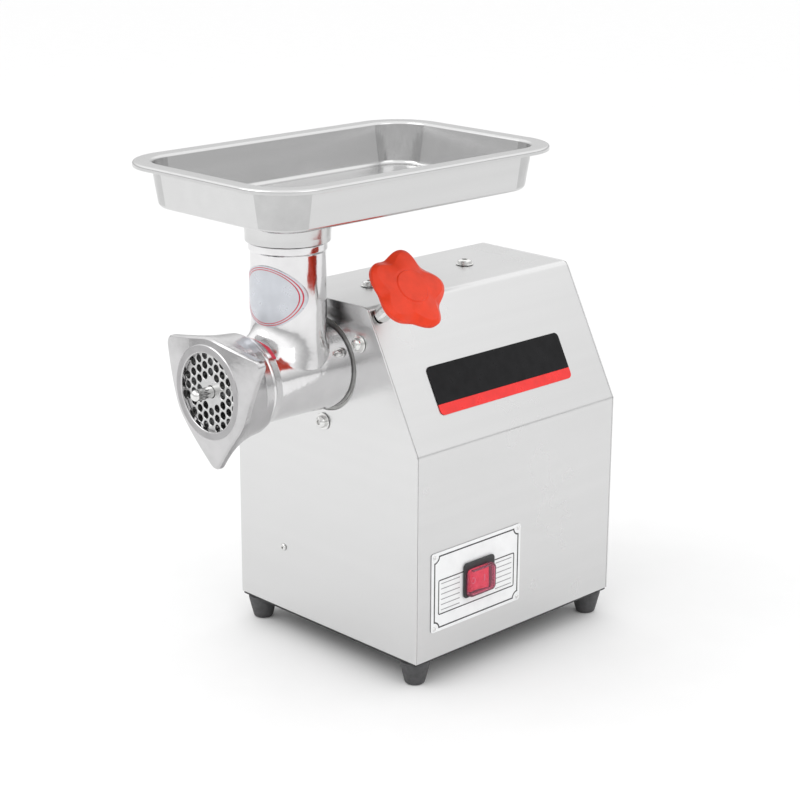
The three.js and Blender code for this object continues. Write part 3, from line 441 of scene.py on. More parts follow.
def make_materials():
    """Every material by its name; most are named after the record's slots."""
    made = {}
    made["stainless_front"] = brushed("stainless_front", STEEL, 0.22, "X")
    made["stainless_side"] = brushed("stainless_side", STEEL, 0.3, "Y")
    made["stainless_tray"] = brushed("stainless_tray", (0.62, 0.62, 0.62), 0.2, "Y", 0.02)
    fine_grain = [(lambda m: noise(m, 0.8), 0.006)]
    film_grain = [(lambda m: noise(m, 0.35), 0.004), (lambda m: noise(m, 40), 0.05)]
    foil_grain = [(lambda m: noise(m, 0.4), 0.004), (lambda m: noise(m, 50), 0.05)]
    print_grain = [(lambda m: noise(m, 0.3), 0.003)]
    # Name, colour, roughness, metal, mottle, patch size, and bumps as (pattern, depth).
    finishes = [
        # Tray's corner walls: the darker base tone is painted reflection; the vertical streaks are relief
        ("drawn_corner", (0.5, 0.5, 0.5), 0.18, 1.0, 0.05, 12,
         [(lambda m: noise(m, 7, (1, 1, 0.06)), 0.5), (lambda m: noise(m, 1.5, (1, 1, 0.05)), 0.03)]),
        ("polished_aluminium", (0.74, 0.735, 0.74), 0.13, 1.0, 0.04, 14,
         [(lambda m: noise(m, 20), 0.32), (lambda m: noise(m, 0.9, (1, 0.05, 1)), 0.002)]),
        ("ring_aluminium", (0.56, 0.555, 0.56), 0.2, 1.0, 0.06, 12,
         [(lambda m: noise(m, 16), 0.3), (lambda m: noise(m, 0.8), 0.004)]),
        ("ring_face", (0.4, 0.395, 0.4), 0.4, 1.0, 0.05, 9, [(lambda m: noise(m, 0.6), 0.006)]),
        ("cast_aluminium", (0.5, 0.5, 0.49), 0.55, 0.9, 0.12, 6,
         [(lambda m: noise(m, 1.2, detail=5), 0.12), (lambda m: grains(m, 0.8), 0.03)]),
        ("zinc_steel", (0.74, 0.74, 0.73), 0.2, 1.0, 0.06, 3, fine_grain),
        ("plate_steel", (0.55, 0.55, 0.55), 0.3, 1.0, 0.08, 5,
         [(lambda m: noise(m, 0.5, (1, 1, 0.04)), 0.004)]),
        ("gear_steel", (0.4, 0.41, 0.42), 0.33, 1.0, 0.12, 4,
         [(lambda m: noise(m, 0.4, (1, 0.05, 1)), 0.008)]),
        ("bearing_steel", (0.62, 0.63, 0.64), 0.2, 1.0, 0.06, 5,
         [(lambda m: bands(m, 0.3, "Y"), 0.003)]),
        ("black_sheet", (0.02, 0.02, 0.021), 0.5, 0.0, 0.25, 5,
         [(lambda m: noise(m, 0.6, detail=4), 0.03)]),
        ("rubber", (0.06, 0.06, 0.062), 0.62, 0.0, 0.15, 4,
         [(lambda m: noise(m, 0.5, detail=4), 0.02), (lambda m: noise(m, 3), 0.05)]),
        ("orange_plastic", (0.74, 0.042, 0.009), 0.34, 0.0, 0.07, 9,
         [(lambda m: noise(m, 0.7, detail=3), 0.012), (lambda m: noise(m, 12), 0.12)]),
        ("black_plastic", (0.022, 0.022, 0.024), 0.42, 0.0, 0.2, 3, [(lambda m: grains(m, 0.5), 0.02)]),
        ("red_plastic", (0.95, 0.16, 0.2), 0.25, 0.0, 0.08, 5, fine_grain),
        ("pink_silicone", (0.95, 0.42, 0.54), 0.05, 0.0, 0.06, 5,
         [(lambda m: noise(m, 2.5), 0.012), (lambda m: noise(m, 0.5), 0.001)]),
        ("black_film", (0.012, 0.012, 0.013), 0.3, 0.0, 0.2, 8, film_grain),
        ("red_film", (0.80, 0.018, 0.016), 0.3, 0.0, 0.08, 8, film_grain),
        ("silver_film", (0.84, 0.845, 0.85), 0.45, 0.1, 0.03, 10, foil_grain),
        ("foil", (0.6, 0.62, 0.66), 0.3, 0.6, 0.03, 10, foil_grain),
        ("print_black", (0.03, 0.03, 0.03), 0.45, 0.0, 0.3, 2, print_grain),
        ("print_grey", (0.3, 0.3, 0.31), 0.45, 0.0, 0.2, 2, print_grain),
        ("print_red", (0.55, 0.03, 0.06), 0.4, 0.0, 0.2, 2, print_grain),
        ("print_white", (0.9, 0.72, 0.74), 0.4, 0.0, 0.04, 2, print_grain),
        ("white_plastic", (0.8, 0.78, 0.7), 0.4, 0.0, 0.04, 8, [(lambda m: noise(m, 0.6), 0.01)]),
        ("nitrile", (0.03, 0.025, 0.02), 0.6, 0.0, 0.15, 3, [(lambda m: noise(m, 0.5), 0.02)]),
        ("laminations", (0.3, 0.31, 0.33), 0.45, 0.8, 0.15, 4, [(lambda m: bands(m, 0.5, "Y"), 0.06)]),
        ("copper", (0.5, 0.17, 0.07), 0.3, 0.6, 0.15, 3, [(lambda m: bands(m, 0.9, "Y", 3.0), 0.25)]),
    ]
    # Shader values that a few materials have besides those.
    extras = {
        "orange_plastic": {"Specular IOR Level": 0.3},
        "red_plastic": {"Subsurface Weight": 0.3, "Subsurface Scale": 2 * MM},
        "pink_silicone": {"Transmission Weight": 0.9, "IOR": 1.15},
        "black_film": {"Specular IOR Level": 0.1},
        "copper": {"Coat Weight": 0.5},
    }
    for name, *look in finishes:
        made[name], surface = finish(name, *look)
        for socket, value in extras.get(name, {}).items():
            surface.inputs[socket].default_value = value
    return made


MATERIALS = make_materials()

# ---------------------------------------------------------------- camera, light and floor

VIEW_AZIMUTH = radians(45.5685)
VIEW_ELEVATION = radians(17.1731)
VIEW_ROLL = radians(0.2705)
VIEW_TARGET = Vector((0, 80.3, 169))
VIEW_DISTANCE = 1534
VIEW_LENS = 88.49  # on a sensor 36 wide


def add_camera():
    back = Vector(
        (
            sin(VIEW_AZIMUTH) * cos(VIEW_ELEVATION),
            -cos(VIEW_AZIMUTH) * cos(VIEW_ELEVATION),
            sin(VIEW_ELEVATION),
        )
    )
    right = Vector((0, 0, 1)).cross(back).normalized()
    up = back.cross(right)
    rolled_right = right * cos(VIEW_ROLL) + up * sin(VIEW_ROLL)
    rolled_up = up * cos(VIEW_ROLL) - right * sin(VIEW_ROLL)
    place = ORIGIN + (VIEW_TARGET + back * VIEW_DISTANCE) * MM
    data = bpy.data.cameras.new("camera")
    data.lens = VIEW_LENS
    data.sensor_width = 36
    data.clip_start = 0.05
    data.clip_end = 60
    camera = bpy.data.objects.new("camera", data)
    columns = Matrix((rolled_right, rolled_up, back)).transposed()
    camera.matrix_world = Matrix.Translation(place) @ columns.to_4x4()
    bpy.context.scene.collection.objects.link(camera)
    bpy.context.scene.camera = camera


def area_light(name, azimuth, elevation, distance, width, height, power):
    """A soft box that faces the middle of the machine. Azimuth 0 is in front, 90 on the +X side."""
    turn, lift = radians(azimuth), radians(elevation)
    out = Vector((sin(turn) * cos(lift), -cos(turn) * cos(lift), sin(lift)))
    data = bpy.data.lights.new(name, "AREA")
    data.shape = "RECTANGLE"
    data.size = width
    data.size_y = height
    data.energy = power
    lamp = bpy.data.objects.new(name, data)
    lamp.location = Vector((0, 0, 0.25)) + out * distance
    lamp.rotation_euler = out.to_track_quat("Z", "Y").to_euler()
    bpy.context.scene.collection.objects.link(lamp)
    return lamp


def add_world():
    """A white studio, greyer at the horizon and even from partway up to the ceiling."""
    horizon, ceiling, even_above = 0.47, 1.3, 0.47
    world = bpy.data.worlds.new("studio")
    world.use_nodes = True
    nodes, links = world.node_tree.nodes, world.node_tree.links
    coordinates = nodes.new("ShaderNodeTexCoord")
    split = nodes.new("ShaderNodeSeparateXYZ")
    level = nodes.new("ShaderNodeMapRange")
    level.inputs["From Min"].default_value = 0
    level.inputs["From Max"].default_value = even_above
    level.inputs["To Min"].default_value = horizon
    level.inputs["To Max"].default_value = ceiling
    links.new(coordinates.outputs["Generated"], split.inputs["Vector"])
    links.new(split.outputs["Z"], level.inputs["Value"])
    background = nodes["Background"]
    background.inputs["Color"].default_value = (1, 1, 1, 1)
    links.new(level.outputs["Result"], background.inputs["Strength"])
    bpy.context.scene.world = world


def add_floor():
    material, principled = shader("floor_paper", (0.79, 0.79, 0.79), 0.7)
    paper = noise(material, 40)
    material.node_tree.links.new(
        tint(material, paper, (0.785, 0.785, 0.785), (0.795, 0.795, 0.795)),
        principled.inputs["Base Color"],
    )
    mesh = bpy.data.meshes.new("floor")
    points = [Vector((p.x, p.y, 0)) for p in circle(14, 96)]
    mesh.from_pydata(points, [], [tuple(range(len(points)))])
    floor = bpy.data.objects.new("floor", mesh)
    floor.location.z = ORIGIN.z - FOOT_HEIGHT * MM - 0.0002
    mesh.materials.append(material)
    bpy.context.scene.collection.objects.link(floor)


def add_studio():
    bpy.context.scene.view_settings.view_transform = "Standard"
    add_world()
    add_floor()
    area_light("key", -25, 48, 2.2, 1.6, 1.2, 12)
    area_light("fill", 95, 35, 2.4, 1.4, 1.4, 4)


# ---------------------------------------------------------------- casing


def casing_outline(inset_by, bottom, steps=10):
    """The casing's section in (x, z), from bottom right over the top to bottom left."""
    right = [
        (HALF_WIDTH - inset_by, bottom),
        (HALF_WIDTH - inset_by, SHOULDER - inset_by * tan(SLANT / 2)),
        (TOP_HALF_WIDTH - inset_by * tan(pi / 4 - SLANT / 2), TOP - inset_by),
    ]
    corners = right + [(-x, z) for x, z in reversed(right)]
    radius = BEND - inset_by
    return filleted(corners, [0, radius, radius, radius, radius, 0], steps)


def bolt_places():
    return [polar(BOLT_CIRCLE, radians(angle), 0, AXIS_HEIGHT) for angle in LUG_ANGLES]


def front_panel():
    holes = [circle(36, 96, 0, AXIS_HEIGHT), circle(1.9, 24, -47.7, 54.4)]
    holes += [circle(2.9, 24, place.x, place.y) for place in bolt_places()]
    shape = slab(casing_outline(0, PANEL_BOTTOM), -SHEET, 0, holes, 0.25)
    piece(
        "front_panel_sheet",
        shape,
        "stainless_front",
        "machine",
        ["front_panel"],
        FACING_FRONT,
    )


def slot_outline(width, height, x, y):
    return rounded_rectangle(width, height, height / 2 - 0.01, x, y)


def rear_panel():
    slots = [slot_outline(70, 3, 0, 80 + 8 * i) for i in range(8)]
    holes = [circle(8.3, 48, -55, 30)] + slots
    shape = slab(casing_outline(0, PANEL_BOTTOM), -DEPTH, SHEET - DEPTH, holes, 0.25)
    piece(
        "rear_panel_sheet",
        shape,
        "stainless_front",
        "machine",
        ["rear_panel"],
        FACING_FRONT,
    )


def top_cover():
    outer = casing_outline(0, PANEL_BOTTOM)
    inner = casing_outline(SHEET, PANEL_BOTTOM)
    section = outer + list(reversed(inner))
    edge = 0.25
    low, high = SHEET + GAP, DEPTH - SHEET - GAP
    narrowed = inset(anticlockwise(section), edge)
    section = anticlockwise(section)
    rings = [
        raised(narrowed, low),
        raised(section, low + edge),
        raised(section, high - edge),
        raised(narrowed, high),
    ]
    points, faces = joined(rings)
    half = len(section) // 2
    last = len(section) - 1
    for start in (0, 3 * len(section)):
        for i in range(half - 1):
            faces.append((start + i, start + i + 1, start + last - i - 1, start + last - i))
    along_machine = Matrix(((1, 0, 0, 0), (0, 0, 1, 0), (0, 1, 0, 0), (0, 0, 0, 1)))
    shell = mesh_object("top_cover_sheet", (points, faces), along_machine)
    tools = []
    for y in (48, 151):
        tools.append(mesh_object("screw_hole", lathe(rod(2.3, 260, 270), 32), at(0, y, 0)))
    tools.append(mesh_object("clamp_hole", lathe(rod(5, 55, 75), 48), clamp_frame()))
    window = slab(rounded_rectangle(30, 25, 1, SWITCH_Y, SWITCH_Z + BOX_RAISE), 90, 110)
    tools.append(mesh_object("switch_window", window, ALONG_X))
    boolean(shell, tools, "DIFFERENCE")
    tidy_mesh(shell.data, 38)
    weight_normals(shell)
    shell.data.materials.clear()
    shell.data.materials.append(MATERIALS["stainless_side"])
    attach(shell, "machine")
    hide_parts("top_cover")


def rod(radius, low, high):
    return [(0, low), (radius, low), (radius, high), (0, high)]


def base_plate():
    outline = rounded_rectangle(199, 219, 2, 0, DEPTH / 2)
    holes = [circle(2.3, 20, x, y) for _, x, y in foot_places()]
    shape = slab(outline, 0, 1.5, holes, 0.3)
    piece("base_sheet", shape, "black_sheet", "machine", ["base_plate"])


def foot_places():
    x, front, rear = HALF_WIDTH - 12.5, 11.5, DEPTH - 11.5
    return [
        ("front_right", x, front),
        ("front_left", -x, front),
        ("rear_right", x, rear),
        ("rear_left", -x, rear),
    ]


def feet():
    bottom = -FOOT_HEIGHT
    corners = [
        (2.6, -GAP),
        (2.6, -11),
        (4.6, -11),
        (4.6, bottom),
        (7.6, bottom),
        (11.6, -2.6),
        (11.6, -GAP),
    ]
    radii = [0.2, 0.2, 0.3, 0.6, 1.8, 1.2, 0.3]
    for place, x, y in foot_places():
        piece(
            f"rubber_foot_{place}",
            soft_lathe(corners, radii, 56),
            "rubber",
            "machine",
            [f"foot_{place}"],
            at(x, y, 0),
        )


def socket_head(radius, shoulder, crown, washer, washer_thickness, shank, tip, socket=0.0):
    """A screw that points down local Z: washer on the seat at 0, domed head above it."""
    steps = 60
    hexagon = []
    for i in range(steps):
        angle = 2 * pi * i / steps
        within = (angle % (pi / 3)) - pi / 6
        hexagon.append(polar(socket / cos(within), angle))
    profile = [(0, tip), (shank, tip), (shank, 0)]
    if washer:
        profile += [
            (washer - 0.3, 0),
            (washer, 0.25),
            (washer, washer_thickness - 0.35),
            (washer - 0.4, washer_thickness),
        ]
    base = washer_thickness if washer else 0
    profile.append((radius, base))
    dome_steps = 6
    for i in range(dome_steps + 1):
        angle = i / dome_steps * pi / 2 * 0.72
        across = radius * cos(angle)
        height = shoulder + (crown - shoulder) * sin(angle) / sin(pi / 2 * 0.72)
        profile.append((across, height))
    rings = [raised(circle(max(r, 0), steps), h) for r, h in profile]
    if socket:
        rings.append(raised([point * 1.08 for point in hexagon], crown))
        rings.append(raised(hexagon, crown - 0.2))
        rings.append(raised(hexagon, crown - 1.9))
        rings.append(raised(circle(0, steps), crown - 2.3))
    else:
        rings.append(raised(circle(0, steps), crown + 0.1))
    return joined(rings)


def front_bolts():
    outward = FACING_FRONT
    for i, place in enumerate(bolt_places()):
        shape = socket_head(4.8, 2.3, 5.2, 6.7, 1.2, 2.3, -12.2, 2.0)
        piece(
            f"front_bolt_head_{i + 1}",
            shape,
            "zinc_steel",
            "machine",
            [f"front_bolt_{i + 1}"],
            at(place.x, -GAP, place.y, outward),
        )
    small = socket_head(2.8, 0.5, 1.6, 0, 0, 1.6, -7, 0.9)
    piece(
        "front_panel_small_screw",
        small,
        "zinc_steel",
        "machine",
        ["front_panel_screw"],
        at(-47.7, -GAP, 54.4, outward),
    )


def top_screws():
    for name, y in (("top_screw_front", 48), ("top_screw_rear", 151)):
        shape = socket_head(5.6, 2.6, 4.0, 7, 1, 2, -4.3, 2.2)
        piece(f"{name}_head", shape, "zinc_steel", "machine", [name], at(0, y, TOP + GAP))


def on_slant(y, z):
    """Frame on the slanted face: local X runs to the rear, local Y up the slope."""
    x = HALF_WIDTH - (z - SHOULDER) * tan(SLANT)
    up = Vector((-sin(SLANT), 0, cos(SLANT)))
    out = Vector((cos(SLANT), 0, sin(SLANT)))
    basis = Matrix((Vector((0, 1, 0)), up, out)).transposed().to_4x4()
    return Matrix.Translation((x, y, z)) @ basis


def brand_label():
    length, height, corner, band = 145, 37.5, 4, 8.4
    left, right = -length / 2, length / 2
    low, high = -height / 2, height / 2
    split = low + band
    upper = filleted(
        [(left, split), (right, split), (right, high), (left, high)], [0, 0, corner, corner]
    )
    lower = filleted([(left, low), (right, low), (right, split), (left, split)], [corner, corner, 0, 0])
    frame_on_slant = on_slant(108.5, 202.5)
    piece(
        "label_field",
        slab(upper, GAP, 0.8, edge=0.1),
        "black_film",
        "machine",
        ["brand_label"],
        frame_on_slant,
    )
    piece(
        "label_band",
        slab(lower, GAP, 0.8, edge=0.1),
        "red_film",
        "machine",
        (),
        frame_on_slant,
    )


# ---------------------------------------------------------------- rating plate and switch

PLATE_FACE = HALF_WIDTH + GAP + 0.7


def notched_outline(width, height, notch, x, y, steps=6):
    """A rectangle with a quarter circle cut out of each corner."""
    w, h = width / 2, height / 2
    outline = []
    corners = [(-w, -h, 90, 0), (w, -h, 180, 90), (w, h, 270, 180), (-w, h, 360, 270)]
    for cx, cy, start, end in corners:
        outline += arc_points(notch, radians(start), radians(end), steps, x + cx, y + cy)
    return outline


def line_ring(outline, width):
    return slab(outline, 0, 0.1, [inset(anticlockwise(outline), width)], 0.02)


def rating_plate():
    y_low, y_high, z_low, z_high = 15, 112, 23, 86
    width, height = y_high - y_low, z_high - z_low
    y, z = (y_low + y_high) / 2, (z_low + z_high) / 2
    window = rounded_rectangle(30, 25, 1, SWITCH_Y, SWITCH_Z + BOX_RAISE)
    outline = rounded_rectangle(width, height, 2, y, z)
    piece(
        "rating_film",
        slab(outline, HALF_WIDTH + GAP, PLATE_FACE, [window], 0.15),
        "silver_film",
        "machine",
        ["rating_plate"],
        ALONG_X,
    )
    printed = at(PLATE_FACE, 0, 0, ALONG_X)
    frame_line = line_ring(notched_outline(width - 5, height - 5, 5, y, z), 1.1)
    piece("rating_frame", frame_line, "print_black", "machine", (), printed)
    field = rounded_rectangle(83, 28, 1.6, 63.5, 50)
    piece("rating_field", line_ring(field, 0.9), "print_black", "machine", (), printed)
    rules = []
    for low, high in ((25, 45), (84, 102)):
        for i in range(6):
            rule_z = 39.5 + 4.2 * i
            rules.append(
                slab(
                    rounded_rectangle(high - low, 0.7, 0.2, (low + high) / 2, rule_z, 2),
                    0,
                    0.08,
                    edge=0.02,
                )
            )
    piece("rating_rules", together(*rules), "print_grey", "machine", (), printed)
    rivets = []
    for side in (-1, 1):
        for up in (-1, 1):
            place = at(PLATE_FACE, y + side * (width / 2 - 3), z + up * (height / 2 - 3), ALONG_X)
            rivets.append(
                moved(soft_lathe([(0, 0), (1.5, 0), (1.5, 0.8), (0, 0.8)], [0, 0, 0.7, 0], 24), place)
            )
    piece("rating_rivets", together(*rivets), "zinc_steel", "machine")


def pillow(outline_at, low, high, radius, steps=6, hollow=None):
    """A slab with a rounded top edge; `outline_at(inset)` gives its outline."""
    rings = [raised(outline_at(0), low), raised(outline_at(0), high - radius)]
    for i in range(1, steps + 1):
        angle = pi / 2 * i / steps
        rings.append(raised(outline_at(radius * (1 - cos(angle))), high - radius + radius * sin(angle)))
    return rings


def switch():
    rim = HALF_WIDTH + 3.4
    seat = PLATE_FACE + GAP
    flange = rounded_rectangle(33, 28, 3, SWITCH_Y, SWITCH_Z + FRAME_RAISE)
    well = rounded_rectangle(23.4, 19, 1, SWITCH_Y, SWITCH_Z)
    box = rounded_rectangle(29, 24, 1, SWITCH_Y, SWITCH_Z + BOX_RAISE)
    made = mesh_object("bezel_frame", slab(flange, seat, rim, [well], 0.6), ALONG_X)
    housing = mesh_object("housing", slab(box, 76, seat + 1, [well], 0.3), ALONG_X)
    boolean(made, [housing], "UNION")
    tidy_mesh(made.data, 38)
    weight_normals(made)
    made.data.materials.clear()
    made.data.materials.append(MATERIALS["black_plastic"])
    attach(made, "machine")
    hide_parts("switch_bezel")
    switch_boot(rim)
    switch_rocker()


def switch_boot(rim):
    top = HALF_WIDTH + 8

    def outer(by):
        return rounded_rectangle(29 - 2 * by, 22 - 2 * by, 4 - by * 0.6, SWITCH_Y, SWITCH_Z, 8)

    def inner(by):
        return rounded_rectangle(25.4 - 2 * by, 18.4 - 2 * by, 3 - by * 0.6, SWITCH_Y, SWITCH_Z, 8)

    rings = pillow(outer, rim + GAP, top - 0.25, 2.4)
    rings.append(raised(rounded_rectangle(14, 10, 3, SWITCH_Y, SWITCH_Z, 8), top))
    rings.append(raised([Vector((SWITCH_Y, SWITCH_Z))] * len(rings[0]), top))
    rings.append(raised([Vector((SWITCH_Y, SWITCH_Z))] * len(rings[0]), top - 0.8))
    rings += reversed(pillow(inner, rim + GAP, top - 0.8, 0.8))
    piece(
        "silicone_boot",
        joined(rings, wrap=True),
        "pink_silicone",
        "machine",
        ["switch_boot"],
        ALONG_X,
        60,
    )


def switch_rocker():
    tilted = at(96, SWITCH_Y, SWITCH_Z) @ Matrix.Rotation(radians(-7), 4, "Z")
    outline = filleted(
        [(-6.5, -4), (-1, -9), (7.4, -10.3), (6.2, 0), (7.4, 10.3), (-1, 9), (-6.5, 4)],
        [1, 2, 1.2, 12, 1.2, 2, 1],
        6,
    )
    piece(
        "rocker_cap",
        slab(outline, -8.7, 8.7, edge=0.5),
        "red_plastic",
        "rocker",
        ["switch_rocker"],
        tilted,
        50,
    )
    face = at(7.05, 0, 0, ALONG_X)
    ring = slab(circle(2.6, 40, -5.6, 0), -0.6, 0.25, [circle(1.9, 40, -5.6, 0)], 0.1)
    dash = slab(rounded_rectangle(0.9, 5.2, 0.3, 5.6, 0), -0.6, 0.25, edge=0.1)
    piece(
        "rocker_marks",
        together(ring, dash),
        "print_white",
        "rocker",
        (),
        tilted @ face,
    )


# ---------------------------------------------------------------- cable gland


def cable_gland():
    hexagon = []
    for i in range(6):
        hexagon.append(polar(12, pi / 3 * i))
    nut = slab(filleted(hexagon, 1.2, 3), 0, 5, [circle(8, 48)], 0.5)
    dome = soft_lathe(
        [(4.5, 0), (9.5, 0), (9.5, 7.2), (7.5, 9.7), (4.5, 9.7)], [0.1, 0.1, 1, 1.4, 0.4], 64
    )
    sleeve = soft_lathe([(4.5, -12.3), (8, -12.3), (8, 0.5), (4.5, 0.5)], 0.1, 48)
    ribs = []
    count = 18
    for i in range(count):
        turn = Matrix.Rotation(2 * pi * i / count, 4, "Z")
        rib = slab(rounded_rectangle(0.9, 1, 0.3, 9.5, 0, 3), 5, 8, edge=0.25)
        ribs.append(moved(rib, turn))
    piece(
        "gland_body",
        together(nut, dome, sleeve, *ribs),
        "black_plastic",
        "machine",
        ["cable_gland"],
        at(-55, DEPTH + GAP, 30, ALONG_Y),
    )


# ---------------------------------------------------------------- head clamp


def clamp_frame():
    """Local Z runs out of the head's axis through the slanted face."""
    turned = Matrix.Rotation(radians(90 - CLAMP_ANGLE), 4, "Y")
    return at(0, CLAMP_Y, AXIS_HEIGHT, turned)


def clamp_screw():
    collar_end = KNOB_BACK - GAP
    end = KNOB_BACK + 9
    corners = [(0, 33.9), (3.2, 33.9), (4, 34.9), (4, 69.4), (6.25, 69.4)]
    corners += [(6.25, collar_end), (4, collar_end), (4, end), (0, end)]
    radii = [0, 0.2, 0.3, 0.2, 0.7, 0.7, 0.2, 0.2, 0]
    piece(
        "clamp_stud",
        soft_lathe(corners, radii, 48, 3),
        "zinc_steel",
        "clamp",
        ["clamp_screw"],
        clamp_frame(),
    )


def clamp_knob():
    """A star with rounded lobes, scooped valleys and a raised disc on its face."""
    lobes, tip, valley = 5, 32.5, 27.2
    disc, hub, bore = 13, 10.4, 4.3
    turn = radians(-3.5)
    back, face = KNOB_BACK, KNOB_FACE
    steps = 200
    sections = []
    for i in range(steps):
        angle = 2 * pi * i / steps
        wave = (1 + sin(lobes * (angle - turn))) / 2
        reach = valley + (tip - valley) * wave**0.9
        scoop = 1 - wave
        corners = [
            (0, face - 0.1),
            (disc - 0.6, face - 0.1),
            (disc, face - 1),
            (14.6, face - 1),
            (reach - 3.5 - 3 * scoop, face - 2 - 0.8 * scoop),
            (reach, face - 4 - 3 * scoop),
            (reach - 0.3, face - 8 - 1.5 * scoop),
            (reach - 8 - 5 * scoop, face - 13.8),
            (11, face - 17),
            (hub, back + 1),
            (hub - 0.8, back),
            (bore, back),
            (bore, back + 10),
            (0, back + 10),
        ]
        radii = [0, 0.5, 0.3, 0.5, 2, 1.4, 1.2, 2, 1, 0.4, 0.4, 0.2, 0.2, 0]
        section = filleted(corners, radii, 5)
        sections.append([Vector((r * cos(angle), r * sin(angle), z)) for r, z in section])
    piece(
        "star_knob",
        joined(sections, wrap=True),
        "orange_plastic",
        "knob",
        ["clamp_knob"],
        clamp_frame(),
        50,
    )


# ---------------------------------------------------------------- grinding head


def head_axis(y=0):
    return at(0, y, AXIS_HEIGHT, ALONG_Y)


def flare_rings():
    """The throat's foot, which spreads over the barrel: rings from the throat down."""
    steps, levels = 144, 18
    start_z, front_reach, rear_reach = 262, 40, 28.6
    side_angle = radians(84)
    rings = [[] for _ in range(levels + 1)]
    for i in range(steps):
        angle = 2 * pi * i / steps
        across, along = sin(angle), -cos(angle)
        top = Vector((THROAT_RADIUS * across, THROAT_Y + THROAT_RADIUS * along, start_z))
        reach = front_reach if along < 0 else rear_reach
        phi = side_angle * across
        surface = BARREL_RADIUS - 0.4
        foot = Vector((surface * sin(phi), THROAT_Y + reach * along, AXIS_HEIGHT + surface * cos(phi)))
        slope = Vector((-cos(phi) * across, -along * max(0.15, 1 - across**2), sin(phi) * abs(across)))
        inward = (foot - top).length * 0.42
        bend_top = top - Vector((0, 0, inward))
        bend_foot = foot + slope.normalized() * inward
        for level in range(levels + 1):
            t = level / levels
            s = 1 - t
            rings[level].append(
                top * s**3 + bend_top * (3 * s * s * t) + bend_foot * (3 * s * t * t) + foot * t**3
            )
    return rings


def throat_solid():
    steps = 144
    rings = flare_rings()
    bottom = [Vector((p.x * 0.9, THROAT_Y + (p.y - THROAT_Y) * 0.9, AXIS_HEIGHT - 4)) for p in rings[-1]]
    centre = [Vector((0, THROAT_Y, AXIS_HEIGHT - 4))] * steps
    profile = filleted(
        [
            (0, THROAT_TOP),
            (THROAT_RADIUS, THROAT_TOP),
            (THROAT_RADIUS, 314.2),
            (28.9, 313.8),
            (28.9, 308.6),
            (THROAT_RADIUS, 307.2),
            (THROAT_RADIUS, 280),
        ],
        [0, 0.8, 0.3, 1.2, 1.2, 1.5, 0],
        5,
    )
    neck = []
    for radius, height in profile:
        ring = [
            Vector(
                (radius * sin(2 * pi * i / steps), THROAT_Y - radius * cos(2 * pi * i / steps), height)
            )
            for i in range(steps)
        ]
        neck.append(ring)
    return joined(neck + rings + [bottom, centre])


def barrel_solid():
    corners = [
        (0, -104.5),
        (34.9, -104.5),
        (34.9, -79.7),
        (36.4, -79.7),
        (36.4, -77.2),
        (34, -75),
        (31.9, -68),
        (BARREL_RADIUS, -30),
        (SPIGOT_RADIUS, -8),
        (SPIGOT_RADIUS, 16),
        (0, 16),
    ]
    radii = [0, 0.8, 0.3, 1, 1.2, 3, 6, 40, 20, 1, 0]
    return soft_lathe(corners, radii, 160, 5)


def head_barrel():
    barrel = mesh_object("grinding_head", barrel_solid(), head_axis())
    throat = mesh_object("throat", throat_solid())
    boolean(barrel, [throat], "UNION")
    tools = [
        mesh_object(
            "bore", soft_lathe([(0, -106), (27.5, -106), (27.5, -4), (0, -4)], 0, 96), head_axis()
        ),
        mesh_object(
            "seat",
            soft_lathe([(0, -106), (31.4, -106), (31.4, -101.8), (0, -101.8)], 0, 96),
            head_axis(),
        ),
        mesh_object(
            "feed", soft_lathe([(0, 215), (24, 215), (24, 337), (0, 337)], 0, 96), at(0, THROAT_Y, 0)
        ),
        mesh_object(
            "shaft_bore", soft_lathe([(0, -5), (10.3, -5), (10.3, 17), (0, 17)], 0, 48), head_axis()
        ),
        mesh_object(
            "relief", soft_lathe([(14.5, 4), (29.5, 4), (29.5, 17), (14.5, 17)], 0, 96), head_axis()
        ),
        mesh_object("pin_bore", lathe(rod(2.1, -106, -97.7), 24), at(0, 0, AXIS_HEIGHT - 31.2, ALONG_Y)),
    ]
    boolean(barrel, tools, "DIFFERENCE")
    tidy_mesh(barrel.data, 32)
    weight_normals(barrel)
    barrel.data.materials.clear()
    barrel.data.materials.append(MATERIALS["polished_aluminium"])
    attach(barrel, "head")
    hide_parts("head_barrel")


def ring_nut_radius(from_lug):
    """Outline of the ring nut: a circle with round lugs joined to it by tangents."""
    lean = acos((RING_RADIUS - LUG_TIP) / LUG_REACH)
    tip_angle = atan2(LUG_TIP * sin(lean), LUG_REACH + LUG_TIP * cos(lean))
    away = abs(from_lug)
    if away >= lean:
        return RING_RADIUS
    if away > tip_angle:
        return RING_RADIUS / cos(lean - away)
    return LUG_REACH * cos(away) + sqrt(LUG_TIP**2 - (LUG_REACH * sin(away)) ** 2)


